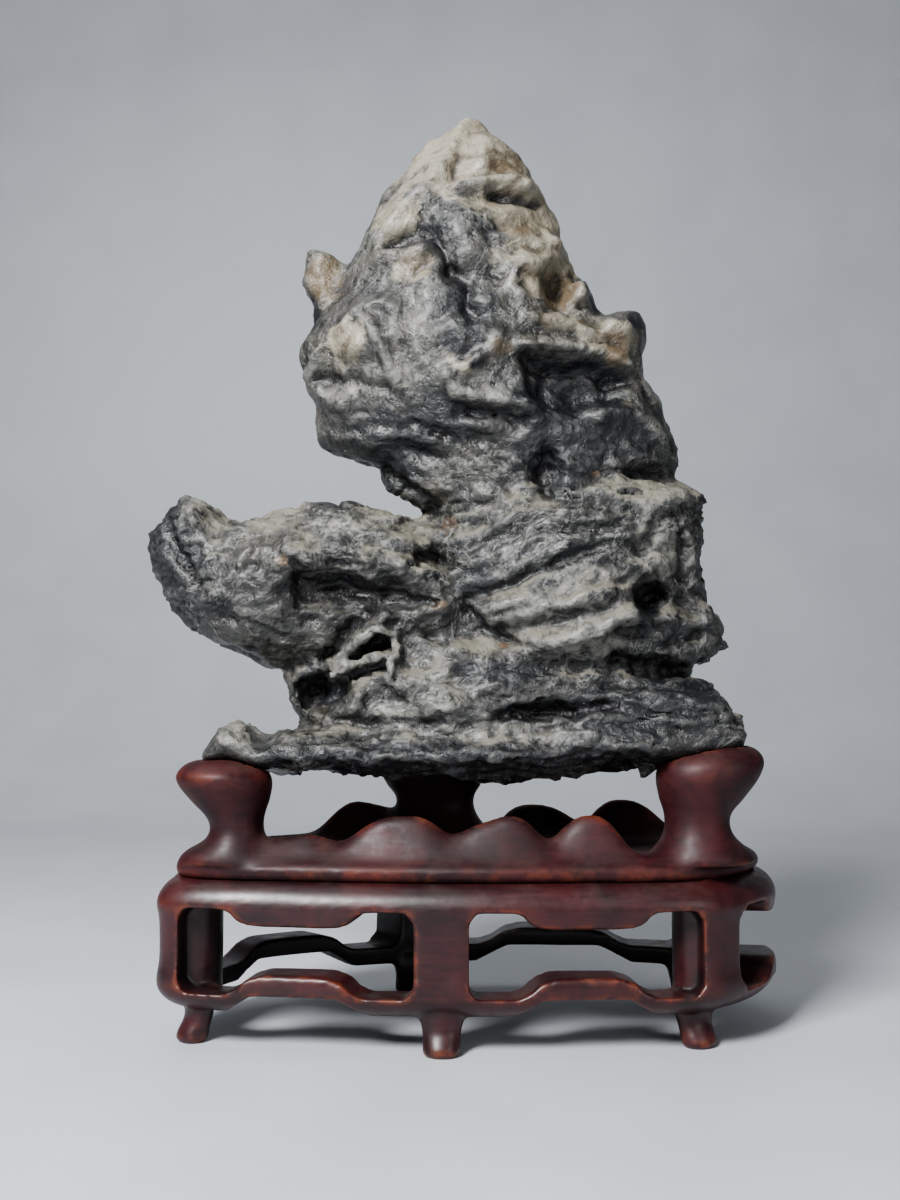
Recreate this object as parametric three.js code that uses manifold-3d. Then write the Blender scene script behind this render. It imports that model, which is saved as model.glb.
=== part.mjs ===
// A small scholars' rock on its carved hardwood stand.
// Millimetres, +Z up. X runs along the stand's long side and -Y is the side it is shown from.
// Three pieces: the stone, the carved top board that carries it, and the pierced frame below.
import * as THREE from "three";
import { mergeVertices } from "three/addons/utils/BufferGeometryUtils.js";
import Module from "manifold-3d";

// ---------------------------------------------------------------- driving dimensions
const GAP = 0.3; // clearance between pieces that touch
const CENTRE = [-2.5, -1.5]; // shift that brings the whole object's box over the origin

const FOOT_H = 9.2; // floor to the underside of the base rail
const RAIL_TOP = 14; // top of the base rail beside a leg
const CLOUD_RISE = 4.6; // how far the middle of a base rail steps up
const WINDOW_TOP = 34.7; // top of a window beside a leg
const APRON_DROP = 3.8; // how far the middle of an apron hangs below that
const FRAME_TOP = 41.4; // where the top board sits
const WALL = 11; // thickness of the pierced wall
const BOARD_BOTTOM = FRAME_TOP + GAP;
const DISH = 45; // floor of the top board's shallow dish
const LOW_RIM = 48; // the rim of the dish between its crests
const PLAN_HALF = [74, 38.5]; // half the stand's length and depth, as the insets see it
const PLAN_MIDDLE = [5.5, 1];

// The stand's outline at the face of its legs, anticlockwise from the front left leg.
// Legs and the middles of the sides between them take turns.
const PLAN = [
  [-73, -24],
  [-38, -33.5],
  [-2.2, -37],
  [31, -36],
  [67, -31],
  [87, -2],
  [74, 32],
  [32, 39.5],
  [-13, 37],
  [-62, 14],
];
// How far each leg reaches back towards the leg before it and on towards the next one, and how
// far its foot is tucked in.
const LEGS = [
  { back: 20, on: 5.8, tuck: 4 },
  { back: 6.8, on: 6.8, tuck: 0 },
  { back: 4.8, on: 5.2, tuck: 3.5 },
  { back: 6.5, on: 6, tuck: 3 },
  { back: 6.5, on: 8.5, tuck: 2 },
];
// The front corner legs are thicker on their inner side: [x, y, half length, half depth].
const BACKINGS = [
  [-65, -15.3, 6, 7.3],
  [61.7, -22.8, 5.3, 5.8],
];
const BACKING_HEIGHTS = [9.6, 41.1];
// A window and the step under its rail, as shares of the wall's width between two legs.
const WINDOW_ENDS = 0.225; // plain stretch beside each leg
const WINDOW_SLOPE = 0.1; // slanting stretch next to it
const STEP_ENDS = 0.2;
const STEP_SLOPE = 0.12;
const WINDOW_CORNER = 2.6; // radius of a window's corners
const STEP_SHORT = 0.3; // how much less the step under a rail rises than the rail's top

const STONE_LUMP = 1.5; // how far the stone's surface swells and sinks
const SLAB_LUMP = 0.6; // the same for its foot, which has to seat on the rests

// ---------------------------------------------------------------- helpers
const wasm = await Module();
wasm.setup();

/** A closed three.js geometry as a manifold-3d solid. */
function solid(geometry) {
  const bare = geometry.clone();
  bare.deleteAttribute("normal");
  bare.deleteAttribute("uv");
  const merged = mergeVertices(bare, 1e-4);
  return new wasm.Manifold(
    new wasm.Mesh({
      numProp: 3,
      vertProperties: new Float32Array(merged.attributes.position.array),
      triVerts: new Uint32Array(merged.index.array),
    }),
  );
}

/** A solid back as a geometry that a mesh can show. */
function geometryOf(made) {
  const mesh = made.getMesh();
  const geometry = new THREE.BufferGeometry();
  geometry.setAttribute("position", new THREE.BufferAttribute(new Float32Array(mesh.vertProperties), 3));
  geometry.setIndex(new THREE.BufferAttribute(new Uint32Array(mesh.triVerts), 1));
  geometry.computeVertexNormals();
  return geometry;
}

/** Slow three-way waves, for surfaces that grew or were carved by hand. About -1 to 1. */
function waver(x, y, z, length) {
  const k = (2 * Math.PI) / length;
  return (
    (Math.sin(k * (x + 0.6 * z) + 1.1) +
      Math.sin(k * (0.8 * z - 0.5 * y) + 2.3) +
      Math.sin(k * (0.9 * y + 0.4 * x) + 0.4)) / 3
  );
}

/** A value between the entries of a list, u from 0 to 1, with a smooth line through them. */
function along(list, u) {
  const last = list.length - 1;
  const i = Math.min(Math.floor(u * last), last - 1);
  const t = u * last - i;
  const at = (n) => list[Math.max(0, Math.min(last, n))];
  return list[0].map((_, k) => {
    const [a, b, c, d] = [at(i - 1)[k], at(i)[k], at(i + 1)[k], at(i + 2)[k]];
    const start = 0.5 * (c - a);
    const end = 0.5 * (d - b);
    return b + t * (start + t * (3 * (c - b) - 2 * start - end + t * (2 * (b - c) + start + end)));
  });
}

/**
 * A closed body lofted through stations, on a sphere's grid so that both ends close.
 * upright: each station is [z, x low, x high, y low, y high], the highest first.
 * lying: each station is [x, z low, z high, y low, y high], the furthest along +X first.
 */
function loft(stations, { lying = false, around = 20, rings = 16, lump = 0, grow = 0 } = {}) {
  const sphere = new THREE.SphereGeometry(1, around, rings);
  const p = sphere.attributes.position;
  for (let i = 0; i < p.count; i++) {
    const v = Math.floor(i / (around + 1)) / rings;
    const angle = Math.atan2(p.getZ(i), p.getX(i));
    const [at, a0, a1, b0, b1] = along(stations, v);
    const pole = v < 1e-6 || v > 1 - 1e-6;
    const c = pole ? 0 : Math.cos(angle);
    const s = pole ? 0 : Math.sin(angle);
    let x = lying ? at : (a0 + a1) / 2 + ((a1 - a0) / 2 + grow) * c;
    let y = (b0 + b1) / 2 + ((b1 - b0) / 2 + grow) * (lying ? s : -s);
    let z = lying ? (a0 + a1) / 2 + ((a1 - a0) / 2 + grow) * c : at;
    const end = (v < 0.5 ? 1 : -1) * (pole ? grow : 0);
    if (lying) x += end;
    else z += end;
    if (lump && !pole) {
      const swell = lump * waver(x, y, z, 31) + 0.5 * lump * waver(z, x, y, 13);
      x += lying ? 0 : swell * c;
      y += swell * (lying ? s : -s);
      z += lying ? swell * c : 0;
    }
    p.setXYZ(i, x, y, z);
  }
  return solid(sphere);
}

/** An egg centred at [x, y, z], with half sizes. */
function egg([x, y, z], [a, b, c]) {
  const ball = new THREE.SphereGeometry(1, 11, 7);
  ball.scale(a, b, c);
  ball.translate(x, y, z);
  return solid(ball);
}

// ---------------------------------------------------------------- the stand's plan
const outline = new THREE.CatmullRomCurve3(
  PLAN.map(([x, y]) => new THREE.Vector3(x, y, 0)),
  true,
  "catmullrom",
  0.5,
);

/** The outline's point at u, moved inwards by inset. */
function planPoint(u, inset) {
  const p = outline.getPoint(((u % 1) + 1) % 1);
  return [
    PLAN_MIDDLE[0] + (p.x - PLAN_MIDDLE[0]) * (1 - inset / PLAN_HALF[0]),
    PLAN_MIDDLE[1] + (p.y - PLAN_MIDDLE[1]) * (1 - inset / PLAN_HALF[1]),
  ];
}

/** Where a leg's face stands, and which way is out: n counts from the front left. */
function leg(n, inset = 0) {
  const u = (2 * (n % LEGS.length)) / PLAN.length;
  const [x, y] = planPoint(u, inset);
  const t = outline.getTangent(u);
  return { x, y, out: new THREE.Vector2(t.y, -t.x).normalize() };
}

// ---------------------------------------------------------------- the pierced frame
// The wall's section, anticlockwise from its outer face: [inset, height].
const FRAME_SECTION = [
  [0, 26],
  [-0.2, 31.6],
  [-0.9, 34.6],
  [-0.4, 37],
  [0.9, 39.2],
  [2.8, 40.7],
  [6, FRAME_TOP],
  [WALL, FRAME_TOP],
  [WALL, 9],
  [5.4, 8.6],
  [1.8, 10.4],
  [-0.6, 13.6],
  [-0.6, 16.8],
  [0, 20],
];

/** The whole wall as a ring, before its windows are sawn. */
function wallRing() {
  const across = FRAME_SECTION.length;
  const round = 50;
  const ring = new THREE.TorusGeometry(10, 1, across, round);
  const p = ring.attributes.position;
  for (let j = 0; j <= across; j++)
    for (let i = 0; i <= round; i++) {
      const [inset, z] = FRAME_SECTION[j % across];
      const [x, y] = planPoint((i % round) / round, inset);
      p.setXYZ(j * (round + 1) + i, x, y, z);
    }
  return solid(ring);
}

/** A cloud-headed window, drawn on a wall of that width: a step up below and a drop above. */
function windowShape(width) {
  const [low, high] = [RAIL_TOP, WINDOW_TOP];
  const ends = WINDOW_ENDS * width;
  const slope = WINDOW_SLOPE * width;
  const r = WINDOW_CORNER;
  const s = new THREE.Shape();
  s.moveTo(r, low);
  s.lineTo(ends, low);
  s.lineTo(ends + slope, low + CLOUD_RISE);
  s.lineTo(width - ends - slope, low + CLOUD_RISE);
  s.lineTo(width - ends, low);
  s.lineTo(width - r, low);
  s.absarc(width - r, low + r, r, -Math.PI / 2, 0, false);
  s.lineTo(width, high - r);
  s.absarc(width - r, high - r, r, 0, Math.PI / 2, false);
  s.lineTo(width - ends - 0.02 * width, high);
  s.lineTo(width - ends - slope, high - APRON_DROP);
  s.lineTo(ends + slope, high - APRON_DROP);
  s.lineTo(ends + 0.02 * width, high);
  s.lineTo(r, high);
  s.absarc(r, high - r, r, Math.PI / 2, Math.PI, false);
  s.lineTo(0, low + r);
  s.absarc(r, low + r, r, Math.PI, 1.5 * Math.PI, false);
  return s;
}

/** The step sawn out under the middle of a base rail. */
function stepShape(width) {
  const ends = STEP_ENDS * width;
  const slope = STEP_SLOPE * width;
  const high = FOOT_H + CLOUD_RISE - STEP_SHORT;
  const s = new THREE.Shape();
  s.moveTo(ends - slope / 2, -1);
  s.lineTo(width - ends + slope / 2, -1);
  s.lineTo(width - ends, FOOT_H);
  s.lineTo(width - ends - slope, high);
  s.lineTo(ends + slope, high);
  s.lineTo(ends, FOOT_H);
  return s;
}

/** A saw cut through the wall between leg n and the next, from a shape drawn on it. */
function sawCut(n, draw) {
  const from = leg(n);
  const to = leg(n + 1);
  const run = new THREE.Vector2(to.x - from.x, to.y - from.y);
  const start = LEGS[n].on;
  const width = run.length() - start - LEGS[(n + 1) % LEGS.length].back;
  run.normalize();
  const inside = WALL + 1;
  const depth = inside + 40;
  const cut = new THREE.ExtrudeGeometry(draw(width), { depth, bevelEnabled: false, curveSegments: 3 });
  // The drawing's x runs along the wall, its y upwards, and the extrusion outwards.
  const place = new THREE.Matrix4().makeBasis(
    new THREE.Vector3(run.x, run.y, 0),
    new THREE.Vector3(0, 0, 1),
    new THREE.Vector3(run.y, -run.x, 0),
  );
  place.setPosition(
    from.x + run.x * start - run.y * inside,
    from.y + run.y * start + run.x * inside,
    0,
  );
  cut.applyMatrix4(place);
  return solid(cut);
}

// A foot, from inside its leg down to its flat sole: [z, along low, along high, in, out].
const FOOT = [
  [12, 0, 0, 5, 5],
  [11.6, -5.4, 5.4, 2, 8.6],
  [8.8, -5.7, 5.7, 1.8, 9],
  [5.8, -5, 5, 1.9, 8.4],
  [3, -4.9, 4.9, 0.5, 7.8],
  [0.9, -4.8, 4.8, -0.3, 7.4],
  [0, -4, 4, 0.6, 6.6],
  [0, 0, 0, 3.4, 3.4],
];

/** The foot under leg n, kicking outwards at its toe. */
function foot(n) {
  const { x, y, out } = leg(n, LEGS[n].tuck);
  const turn = (Math.atan2(out.y, out.x) * 180) / Math.PI + 90;
  return loft(FOOT, { around: 12, rings: FOOT.length - 1 }).rotate([0, 0, turn]).translate([x, y, 0]);
}

function standFrame() {
  let frame = wallRing();
  LEGS.forEach((_, n) => {
    frame = frame.subtract(sawCut(n, windowShape)).subtract(sawCut(n, stepShape));
  });
  LEGS.forEach((_, n) => {
    frame = frame.add(foot(n));
  });
  const [low, high] = BACKING_HEIGHTS;
  for (const [x, y, a, b] of BACKINGS) {
    const backing = new THREE.BoxGeometry(2 * a, 2 * b, high - low);
    backing.translate(x, y, (low + high) / 2);
    frame = frame.add(solid(backing));
  }
  return frame;
}

// ---------------------------------------------------------------- the carved top board
// Crests of the wavy rim: [x, y, height over the low rim, half width].
const CRESTS = [
  [-13, -26, 8.6, 12],
  [15.5, -28, 9.4, 10],
  [36, -27, 9.6, 9.5],
  [-25, 22, 8.8, 13],
  [24, 28, 7, 12],
  [50, 27, 8.6, 11],
  [1, -29, 4.5, 9],
  [-39, -22, 4.4, 13],
];

/** Height of the rim's ridge over a place on the plan. */
function ridge([x, y]) {
  const lift = CRESTS.reduce((sum, [cx, cy, h, w]) => {
    const d2 = ((x - cx) ** 2 + (y - cy) ** 2) / w ** 2;
    return sum + h * Math.exp(-0.5 * d2 - 0.8 * d2 * d2);
  }, 0);
  return LOW_RIM + lift;
}

/** The board's skin, from the edge of the dish over the rim and back under: [inset, height]. */
function boardSection(top) {
  return [
    [18.5, DISH],
    [14.5, DISH + 0.5 * (top - DISH)],
    [12.4, top],
    [10.6, top - 0.4],
    [7.8, 47 + 0.3 * (top - 47)],
    [5.3, 45.9],
    [3.5, 44.5],
    [3.7, 42.8],
    [6.2, BOARD_BOTTOM],
  ];
}

function boardSkin() {
  const round = 50;
  const rings = boardSection(0).length + 1;
  const sphere = new THREE.SphereGeometry(1, round, rings);
  const p = sphere.attributes.position;
  for (let i = 0; i <= round; i++) {
    const u = (i % round) / round;
    const section = boardSection(ridge(planPoint(u, 12)));
    p.setXYZ(i, ...PLAN_MIDDLE, DISH);
    section.forEach(([inset, z], j) => p.setXYZ((j + 1) * (round + 1) + i, ...planPoint(u, inset), z));
    p.setXYZ(rings * (round + 1) + i, ...PLAN_MIDDLE, BOARD_BOTTOM);
  }
  return solid(sphere);
}

// The three rests that hold the stone: stations [z, x low, x high, y low, y high], top first.
const RESTS = {
  left: [
    [71.2, -60, -58, -19, -17],
    [70.4, -67, -51, -25, -11],
    [67.8, -70.4, -47.2, -29, -8],
    [64.8, -70.4, -46, -29.5, -7.5],
    [60, -66.6, -46.8, -27.5, -9],
    [54.5, -61.8, -48.2, -26, -10.5],
    [50.5, -63, -47.6, -27, -9],
    [47.3, -69.5, -44.5, -28.5, -7],
    [45, -69.5, -44.5, -28.5, -7],
    [45, -58, -56, -18, -16],
  ],
  right: [
    [75, 69, 71, -20, -18],
    [74.2, 62, 78, -26, -12],
    [71, 55, 81, -30, -8.5],
    [66.5, 53.2, 79.6, -31, -8],
    [61, 54, 75.6, -29, -9.5],
    [56, 55.4, 71.8, -27.5, -10.5],
    [51, 54.6, 73.5, -29, -9],
    [47.3, 51.5, 78.5, -31, -7],
    [45, 51.5, 78.5, -31, -7],
    [45, 64, 66, -19, -17],
  ],
  back: [
    [69.5, -6, -4, 21, 23],
    [68.6, -16, 6, 15, 29],
    [65.5, -20, 10.4, 11, 32],
    [61.5, -18.4, 9, 12.5, 31],
    [57, -15.4, 6.8, 14, 29],
    [52, -17, 8.5, 12.5, 30.5],
    [48, -21, 12, 10, 32],
    [45, -21, 12, 10, 32],
    [45, -6, -4, 20, 22],
  ],
};

function standTop(stoneGrown) {
  let top = boardSkin();
  for (const stations of Object.values(RESTS)) top = top.add(loft(stations, { around: 12, rings: 11 }));
  return top.subtract(stoneGrown);
}

// ---------------------------------------------------------------- the stone
// Upright masses: [z, x low, x high, y low, y high], top first. Each ends in a point.
const PEAK = [
  [249.6, 4, 7, 0, 2],
  [247.6, 0, 11, -5, 7],
  [243, -5.5, 15, -8, 10],
  [237, -11, 20.5, -11, 12],
  [229, -17, 25.5, -14, 15],
  [220, -21.5, 30, -17, 18],
  [209, -27.5, 33.6, -19.5, 20],
  [198, -32, 39.6, -21.5, 21],
  [190, -37.5, 42.6, -23, 21.5],
  [182, -43, 48, -24, 22],
  [175, -41, 53, -23, 22],
  [169, -37, 58, -23, 22],
  [162, -37.8, 61, -21.5, 21],
  [155.5, -35, 63.5, -20, 20],
  [151.5, -23, 63, -19, 19],
  [145, -17.5, 60, -19, 19],
  [137, -7, 60, -20, 20],
  [128, 4, 50, -18, 18],
  [122, 20, 24, -2, 2],
];
const SHOULDER = [
  [148.5, 58, 60, -4, -2],
  [146, 32, 66, -14, 14],
  [140, 8, 69.5, -20, 19],
  [132.5, -5, 70, -23, 21],
  [124, -11, 69, -24, 22],
  [115, -9, 70, -24, 22],
  [107, -6, 75.5, -23, 21],
  [100, -3, 75, -21, 19],
  [95, 10, 65, -19, 17],
  [90, 30, 34, -2, 2],
];
const FOOT_OF_STONE = [
  [106, 0, 4, -4, 4],
  [101, -30, 54, -18, 17],
  [95, -44, 64, -22, 21],
  [88, -44, 67.5, -25, 23],
  [81.5, -41, 74, -27, 25],
  [75, -34, 76, -26, 24],
  [70, -10, 60, -20, 20],
  [66.5, 10, 14, -4, 4],
];
const LEFT_HORN = [
  [213, -40.4, -38.8, -1, 1],
  [211.6, -41.2, -35, -3, 3],
  [208.6, -41.4, -29.6, -4.5, 4.5],
  [203, -40.8, -28.6, -5.5, 5.5],
  [197, -38.4, -28.4, -6.5, 6.5],
  [190, -37.6, -26, -8, 8],
  [181, -30, -28, -1, 1],
];
const RIGHT_HORN = [
  [193, 50, 51.5, -6, -4],
  [191.4, 46, 53.4, -9, 0],
  [189.2, 36, 54, -12, 4],
  [185, 32, 53.4, -14, 6],
  [179, 33, 53, -14, 8],
  [173, 40, 54, -10, 8],
  [168, 46, 48, -1, 1],
];
// Lying masses: [x, z low, z high, y low, y high], furthest right first. Each ends in a point.
const ARM = [
  [12, 110, 114, -2, 2],
  [0, 98, 130, -19, 18],
  [-12, 95.5, 135.5, -22, 20],
  [-25, 95, 139, -23, 20],
  [-38, 95.4, 139.2, -23, 19],
  [-50, 96, 137, -22, 18],
  [-60, 99.5, 135.5, -20, 17],
  [-67, 103.5, 138.5, -18, 15],
  [-72.5, 107.5, 142, -15, 13],
  [-77.5, 114, 137.5, -12, 11],
  [-81.5, 119.5, 132.5, -8, 7],
  [-83, 125, 127, -1, 1],
];
const SLAB = [
  [77.5, 75, 77, -4, 0],
  [75.5, 70.5, 81, -23, 21],
  [64, 68, 85, -28, 26],
  [46, 67.4, 83, -30, 27],
  [36, 67.2, 81, -30, 27],
  [26, 65.6, 81, -30, 27],
  [6, 65.4, 81, -30, 27],
  [-14, 65.6, 80, -29, 26],
  [-30, 66.4, 80, -28, 23],
  [-43, 67, 78.5, -27, 17],
  [-50, 67.6, 75.5, -26, 12],
  [-55, 68.4, 80, -25, 8],
  [-59, 69, 79.5, -24, 4],
  [-63, 69.4, 75, -23, -3],
  [-66, 70.5, 71.5, -15, -11],
];
// The upright right end of the slab.
const RIGHT_BLOCK = [
  [77.5, 73, 76, -12, -6],
  [74.5, 70.5, 84, -24, -3],
  [66, 69.5, 91, -27.5, 0],
  [50, 68.6, 93, -28, 0],
  [36, 68.6, 90, -28, 0],
  [25, 69, 85, -27, 0],
  [15, 72, 78, -20, -4],
];
// Hollows eaten into the stone: [centre, half sizes].
const HOLLOWS = [
  [[32, -22, 198], [7, 10, 10]],
  [[30, -29, 169.5], [19, 13, 9]],
  [[24, -22, 148], [4, 10, 6.5]],
  [[-4.5, -25, 124], [5, 9, 4]],
  [[52, -24, 111.5], [5, 10, 6.5]],
  [[-32, -33, 115], [18, 14, 9]],
  [[-35, -27, 88.5], [6.5, 15, 5.5]],
  [[24, -31, 82.5], [14, 8, 3.2]],
];
// Knobs and ledges standing out of it: [centre, half sizes].
const KNOBS = [
  [[32.5, -14, 195.5], [4, 5, 5]],
  [[31, -19.5, 181.5], [14, 5.5, 3.6]],
  [[10, -19.5, 174.5], [9, 5, 4]],
  [[27, -20, 108], [20, 5.5, 8]],
];

/** The stone; grow swells it evenly, to carve its seat in what holds it. */
function stone(grow) {
  const lump = STONE_LUMP;
  let rock = loft(PEAK, { around: 18, rings: 22, lump, grow });
  rock = rock.add(loft(SHOULDER, { around: 18, rings: 12, lump, grow }));
  rock = rock.add(loft(FOOT_OF_STONE, { around: 18, rings: 9, lump, grow }));
  rock = rock.add(loft(LEFT_HORN, { around: 9, rings: 7, grow }));
  rock = rock.add(loft(RIGHT_HORN, { around: 9, rings: 7, grow }));
  rock = rock.add(loft(ARM, { lying: true, around: 16, rings: 14, lump, grow }));
  rock = rock.add(loft(SLAB, { lying: true, around: 14, rings: 18, lump: SLAB_LUMP, grow }));
  rock = rock.add(loft(RIGHT_BLOCK, { lying: true, around: 10, rings: 8, grow }));
  if (grow) return rock;
  for (const [centre, half] of HOLLOWS) rock = rock.subtract(egg(centre, half));
  for (const [centre, half] of KNOBS) rock = rock.add(egg(centre, half));
  return rock;
}

// ---------------------------------------------------------------- the object
const stoneFinish = new THREE.MeshStandardMaterial({ color: 0x6d6d6a, roughness: 0.55, metalness: 0 });
const woodFinish = new THREE.MeshStandardMaterial({ color: 0x4a1f1c, roughness: 0.35, metalness: 0 });

const object = new THREE.Group();
for (const [name, made, finish] of [
  ["rock", stone(0), stoneFinish],
  ["stand_top", standTop(stone(GAP)), woodFinish],
  ["stand_frame", standFrame(), woodFinish],
]) {
  const mesh = new THREE.Mesh(geometryOf(made), finish);
  mesh.name = name;
  mesh.position.set(CENTRE[0], CENTRE[1], 0);
  object.add(mesh);
}

export default object;
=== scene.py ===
# %% [markdown]
# # A scholars' rock on its carved stand
# A piece of eroded limestone, narrow at its foot, with an arm to the left and a leaning peak,
# stands on three posts of a dark hardwood stand. The stand is two carvings: a dished board with
# a cloud-shaped rim, and a pierced frame with five legs. Everything here is worked out in
# millimetres as numpy arrays, and turned into metres when it becomes a Blender object.

# %% Tools, frame and units
import math

import bmesh
import bpy
import numpy as np
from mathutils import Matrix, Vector


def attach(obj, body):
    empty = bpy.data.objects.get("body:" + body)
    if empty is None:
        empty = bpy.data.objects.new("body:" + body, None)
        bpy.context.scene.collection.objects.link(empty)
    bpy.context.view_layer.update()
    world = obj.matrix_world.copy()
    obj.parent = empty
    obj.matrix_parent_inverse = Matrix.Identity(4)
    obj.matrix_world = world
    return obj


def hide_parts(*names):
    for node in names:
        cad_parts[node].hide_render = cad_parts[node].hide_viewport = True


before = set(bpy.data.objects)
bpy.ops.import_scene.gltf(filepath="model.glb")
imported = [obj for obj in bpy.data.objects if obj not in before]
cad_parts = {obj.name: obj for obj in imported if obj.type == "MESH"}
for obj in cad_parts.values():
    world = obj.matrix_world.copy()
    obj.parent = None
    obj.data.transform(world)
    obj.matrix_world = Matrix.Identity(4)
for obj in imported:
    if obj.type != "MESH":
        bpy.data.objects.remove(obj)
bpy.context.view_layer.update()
MM = 0.001
SHIFT = np.array([-2.5, -1.5, 0.0])  # the object's own centre lies this far from the drawing's origin

# %% [markdown]
# ## Noise
# Stone and wood both need irregularity that is the same every time. Gradient noise gives it: a
# random slope sits at each corner of a lattice, and a smooth blend of the eight slopes round a
# point gives its value. Cell noise gives pits and cracks: the distance to the nearest of some
# scattered seeds.

# %% Noise as whole arrays


def gradient_noise(p, size, seed):
    """Smooth noise, about -1 to 1: at each lattice corner the dot product of a random unit slope
    with the way to the point, blended by 6t^5 - 15t^4 + 10t^3 along each axis."""
    rng = np.random.default_rng(seed)
    shuffle = rng.permutation(256)
    slopes = rng.normal(size=(256, 3))
    slopes /= np.linalg.norm(slopes, axis=1)[:, None]
    q = p / np.asarray(size, float)
    cell = np.floor(q).astype(int)
    f = q - cell
    t = f**3 * (f * (6 * f - 15) + 10)
    total = np.zeros(len(p))
    for cx, cy, cz in np.ndindex(2, 2, 2):
        key = shuffle[(cell[:, 0] + cx) & 255]
        key = shuffle[(key + cell[:, 1] + cy) & 255]
        key = shuffle[(key + cell[:, 2] + cz) & 255]
        away = f - (cx, cy, cz)
        blend = np.where((cx, cy, cz), t, 1 - t).prod(axis=1)
        total += blend * (slopes[key] * away).sum(axis=1)
    return 1.7 * total


def layered_noise(p, size, octaves, seed):
    """A sum of gradient noises, each half as large and half as strong as the one before."""
    size = np.asarray(size, float)
    return sum(0.5**k * gradient_noise(p, size / 2**k, seed + k) for k in range(octaves))


def cell_noise(p, size, seed):
    """The distance, in cells, to the nearest of one jittered seed a cell."""
    rng = np.random.default_rng(seed)
    shuffle = rng.permutation(256)
    jitter = rng.random((256, 3))
    q = p / np.asarray(size, float)
    cell = np.floor(q).astype(int)
    nearest = np.full(len(p), 9.0)
    for step in np.ndindex(3, 3, 3):
        near = cell + np.array(step) - 1
        key = shuffle[near[:, 0] & 255]
        key = shuffle[(key + near[:, 1]) & 255]
        key = shuffle[(key + near[:, 2]) & 255]
        nearest = np.minimum(nearest, np.linalg.norm(near + jitter[key] - q, axis=1))
    return nearest


def facet_noise(p, size, seed):
    """Chipped facets, about -1 to 1: round each scattered seed a flat plane tilted its own way,
    so the value is the dot product of the nearest seed's slope with the way to the point."""
    rng = np.random.default_rng(seed)
    shuffle = rng.permutation(256)
    jitter = rng.random((256, 3))
    slopes = rng.normal(size=(256, 3))
    slopes /= np.linalg.norm(slopes, axis=1)[:, None]
    q = p / np.asarray(size, float)
    cell = np.floor(q).astype(int)
    nearest = np.full(len(p), 9.0)
    value = np.zeros(len(p))
    for step in np.ndindex(3, 3, 3):
        near = cell + np.array(step) - 1
        key = shuffle[near[:, 0] & 255]
        key = shuffle[(key + near[:, 1]) & 255]
        key = shuffle[(key + near[:, 2]) & 255]
        away = q - near - jitter[key]
        far = np.linalg.norm(away, axis=1)
        value = np.where(far < nearest, (slopes[key] * away).sum(axis=1), value)
        nearest = np.minimum(nearest, far)
    return 2 * value


def ramp(value, low, high):
    """0 below low, 1 above high, and a smooth 3t^2 - 2t^3 between."""
    t = np.clip((value - low) / (high - low), 0, 1)
    return t * t * (3 - 2 * t)


# %% [markdown]
# ## Skins as arrays
# A skin is an array of points and an array of quads. Bodies could be modelled one by one with a
# modeller's own shapes; here each is a cubic through a few stations, since a carving or a worn
# stone is told by its sections. Fusing samples many closed bodies on one lattice, which joins them
# as if they had grown together, and leaves even quads to press relief into.

# %% Meshes as arrays


def spline(points, u, closed=False):
    """Catmull-Rom: a cubic through every point, its slope there half the way from the point
    before to the point after. u runs from 0 to 1."""
    points = np.asarray(points, float)
    n = len(points)
    place = np.asarray(u) * (n if closed else n - 1)
    i = np.floor(place).astype(int)
    if not closed:
        i = np.minimum(i, n - 2)
    t = (place - i)[:, None]
    past_the_ends = "wrap" if closed else "clip"
    before, a, b, after = (np.take(points, i + k, axis=0, mode=past_the_ends) for k in (-1, 0, 1, 2))
    start, end = (b - before) / 2, (after - a) / 2
    return a + t * (start + t * (3 * (b - a) - 2 * start - end + t * (2 * (a - b) + start + end)))


def grid_faces(rows, columns, wrap_rows=False):
    """Quads between neighbouring rows of a grid whose columns close on themselves."""
    r = np.arange(rows if wrap_rows else rows - 1)[:, None]
    c = np.arange(columns)[None, :]
    r2, c2 = (r + 1) % rows, (c + 1) % columns
    corners = [r * columns + c, r2 * columns + c, r2 * columns + c2, r * columns + c2]
    return np.stack(corners, -1).reshape(-1, 4)


def as_object(name, points, faces, caps=()):
    """A Blender mesh object from points, quads and any end caps, in the points' own unit, with
    every closed shell's faces turned to look outwards."""
    mesh = bpy.data.meshes.new(name)
    mesh.from_pydata(points.tolist(), [], np.asarray(faces).tolist() + [list(cap) for cap in caps])
    mesh.validate()
    shells = bmesh.new()
    shells.from_mesh(mesh)
    bmesh.ops.recalc_face_normals(shells, faces=shells.faces)
    shells.to_mesh(mesh)
    shells.free()
    made = bpy.data.objects.new(name, mesh)
    bpy.context.scene.collection.objects.link(made)
    return made


def applied(made):
    """The object's points and quads once its modifiers have run; the object is then removed."""
    seen = made.evaluated_get(bpy.context.evaluated_depsgraph_get())
    mesh = bpy.data.meshes.new_from_object(seen)
    points = np.empty(len(mesh.vertices) * 3)
    mesh.vertices.foreach_get("co", points)
    corners = np.empty(len(mesh.loops), int)
    mesh.loops.foreach_get("vertex_index", corners)
    quads = corners.reshape(-1, 4)
    bpy.data.objects.remove(made)
    bpy.data.meshes.remove(mesh)
    return points.reshape(-1, 3), quads


def fused(made, size):
    """Many closed shells as one even skin of quads, by sampling them on a lattice."""
    skin = made.modifiers.new("skin", "REMESH")
    skin.mode = "VOXEL"
    skin.voxel_size = size
    return applied(made)


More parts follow.
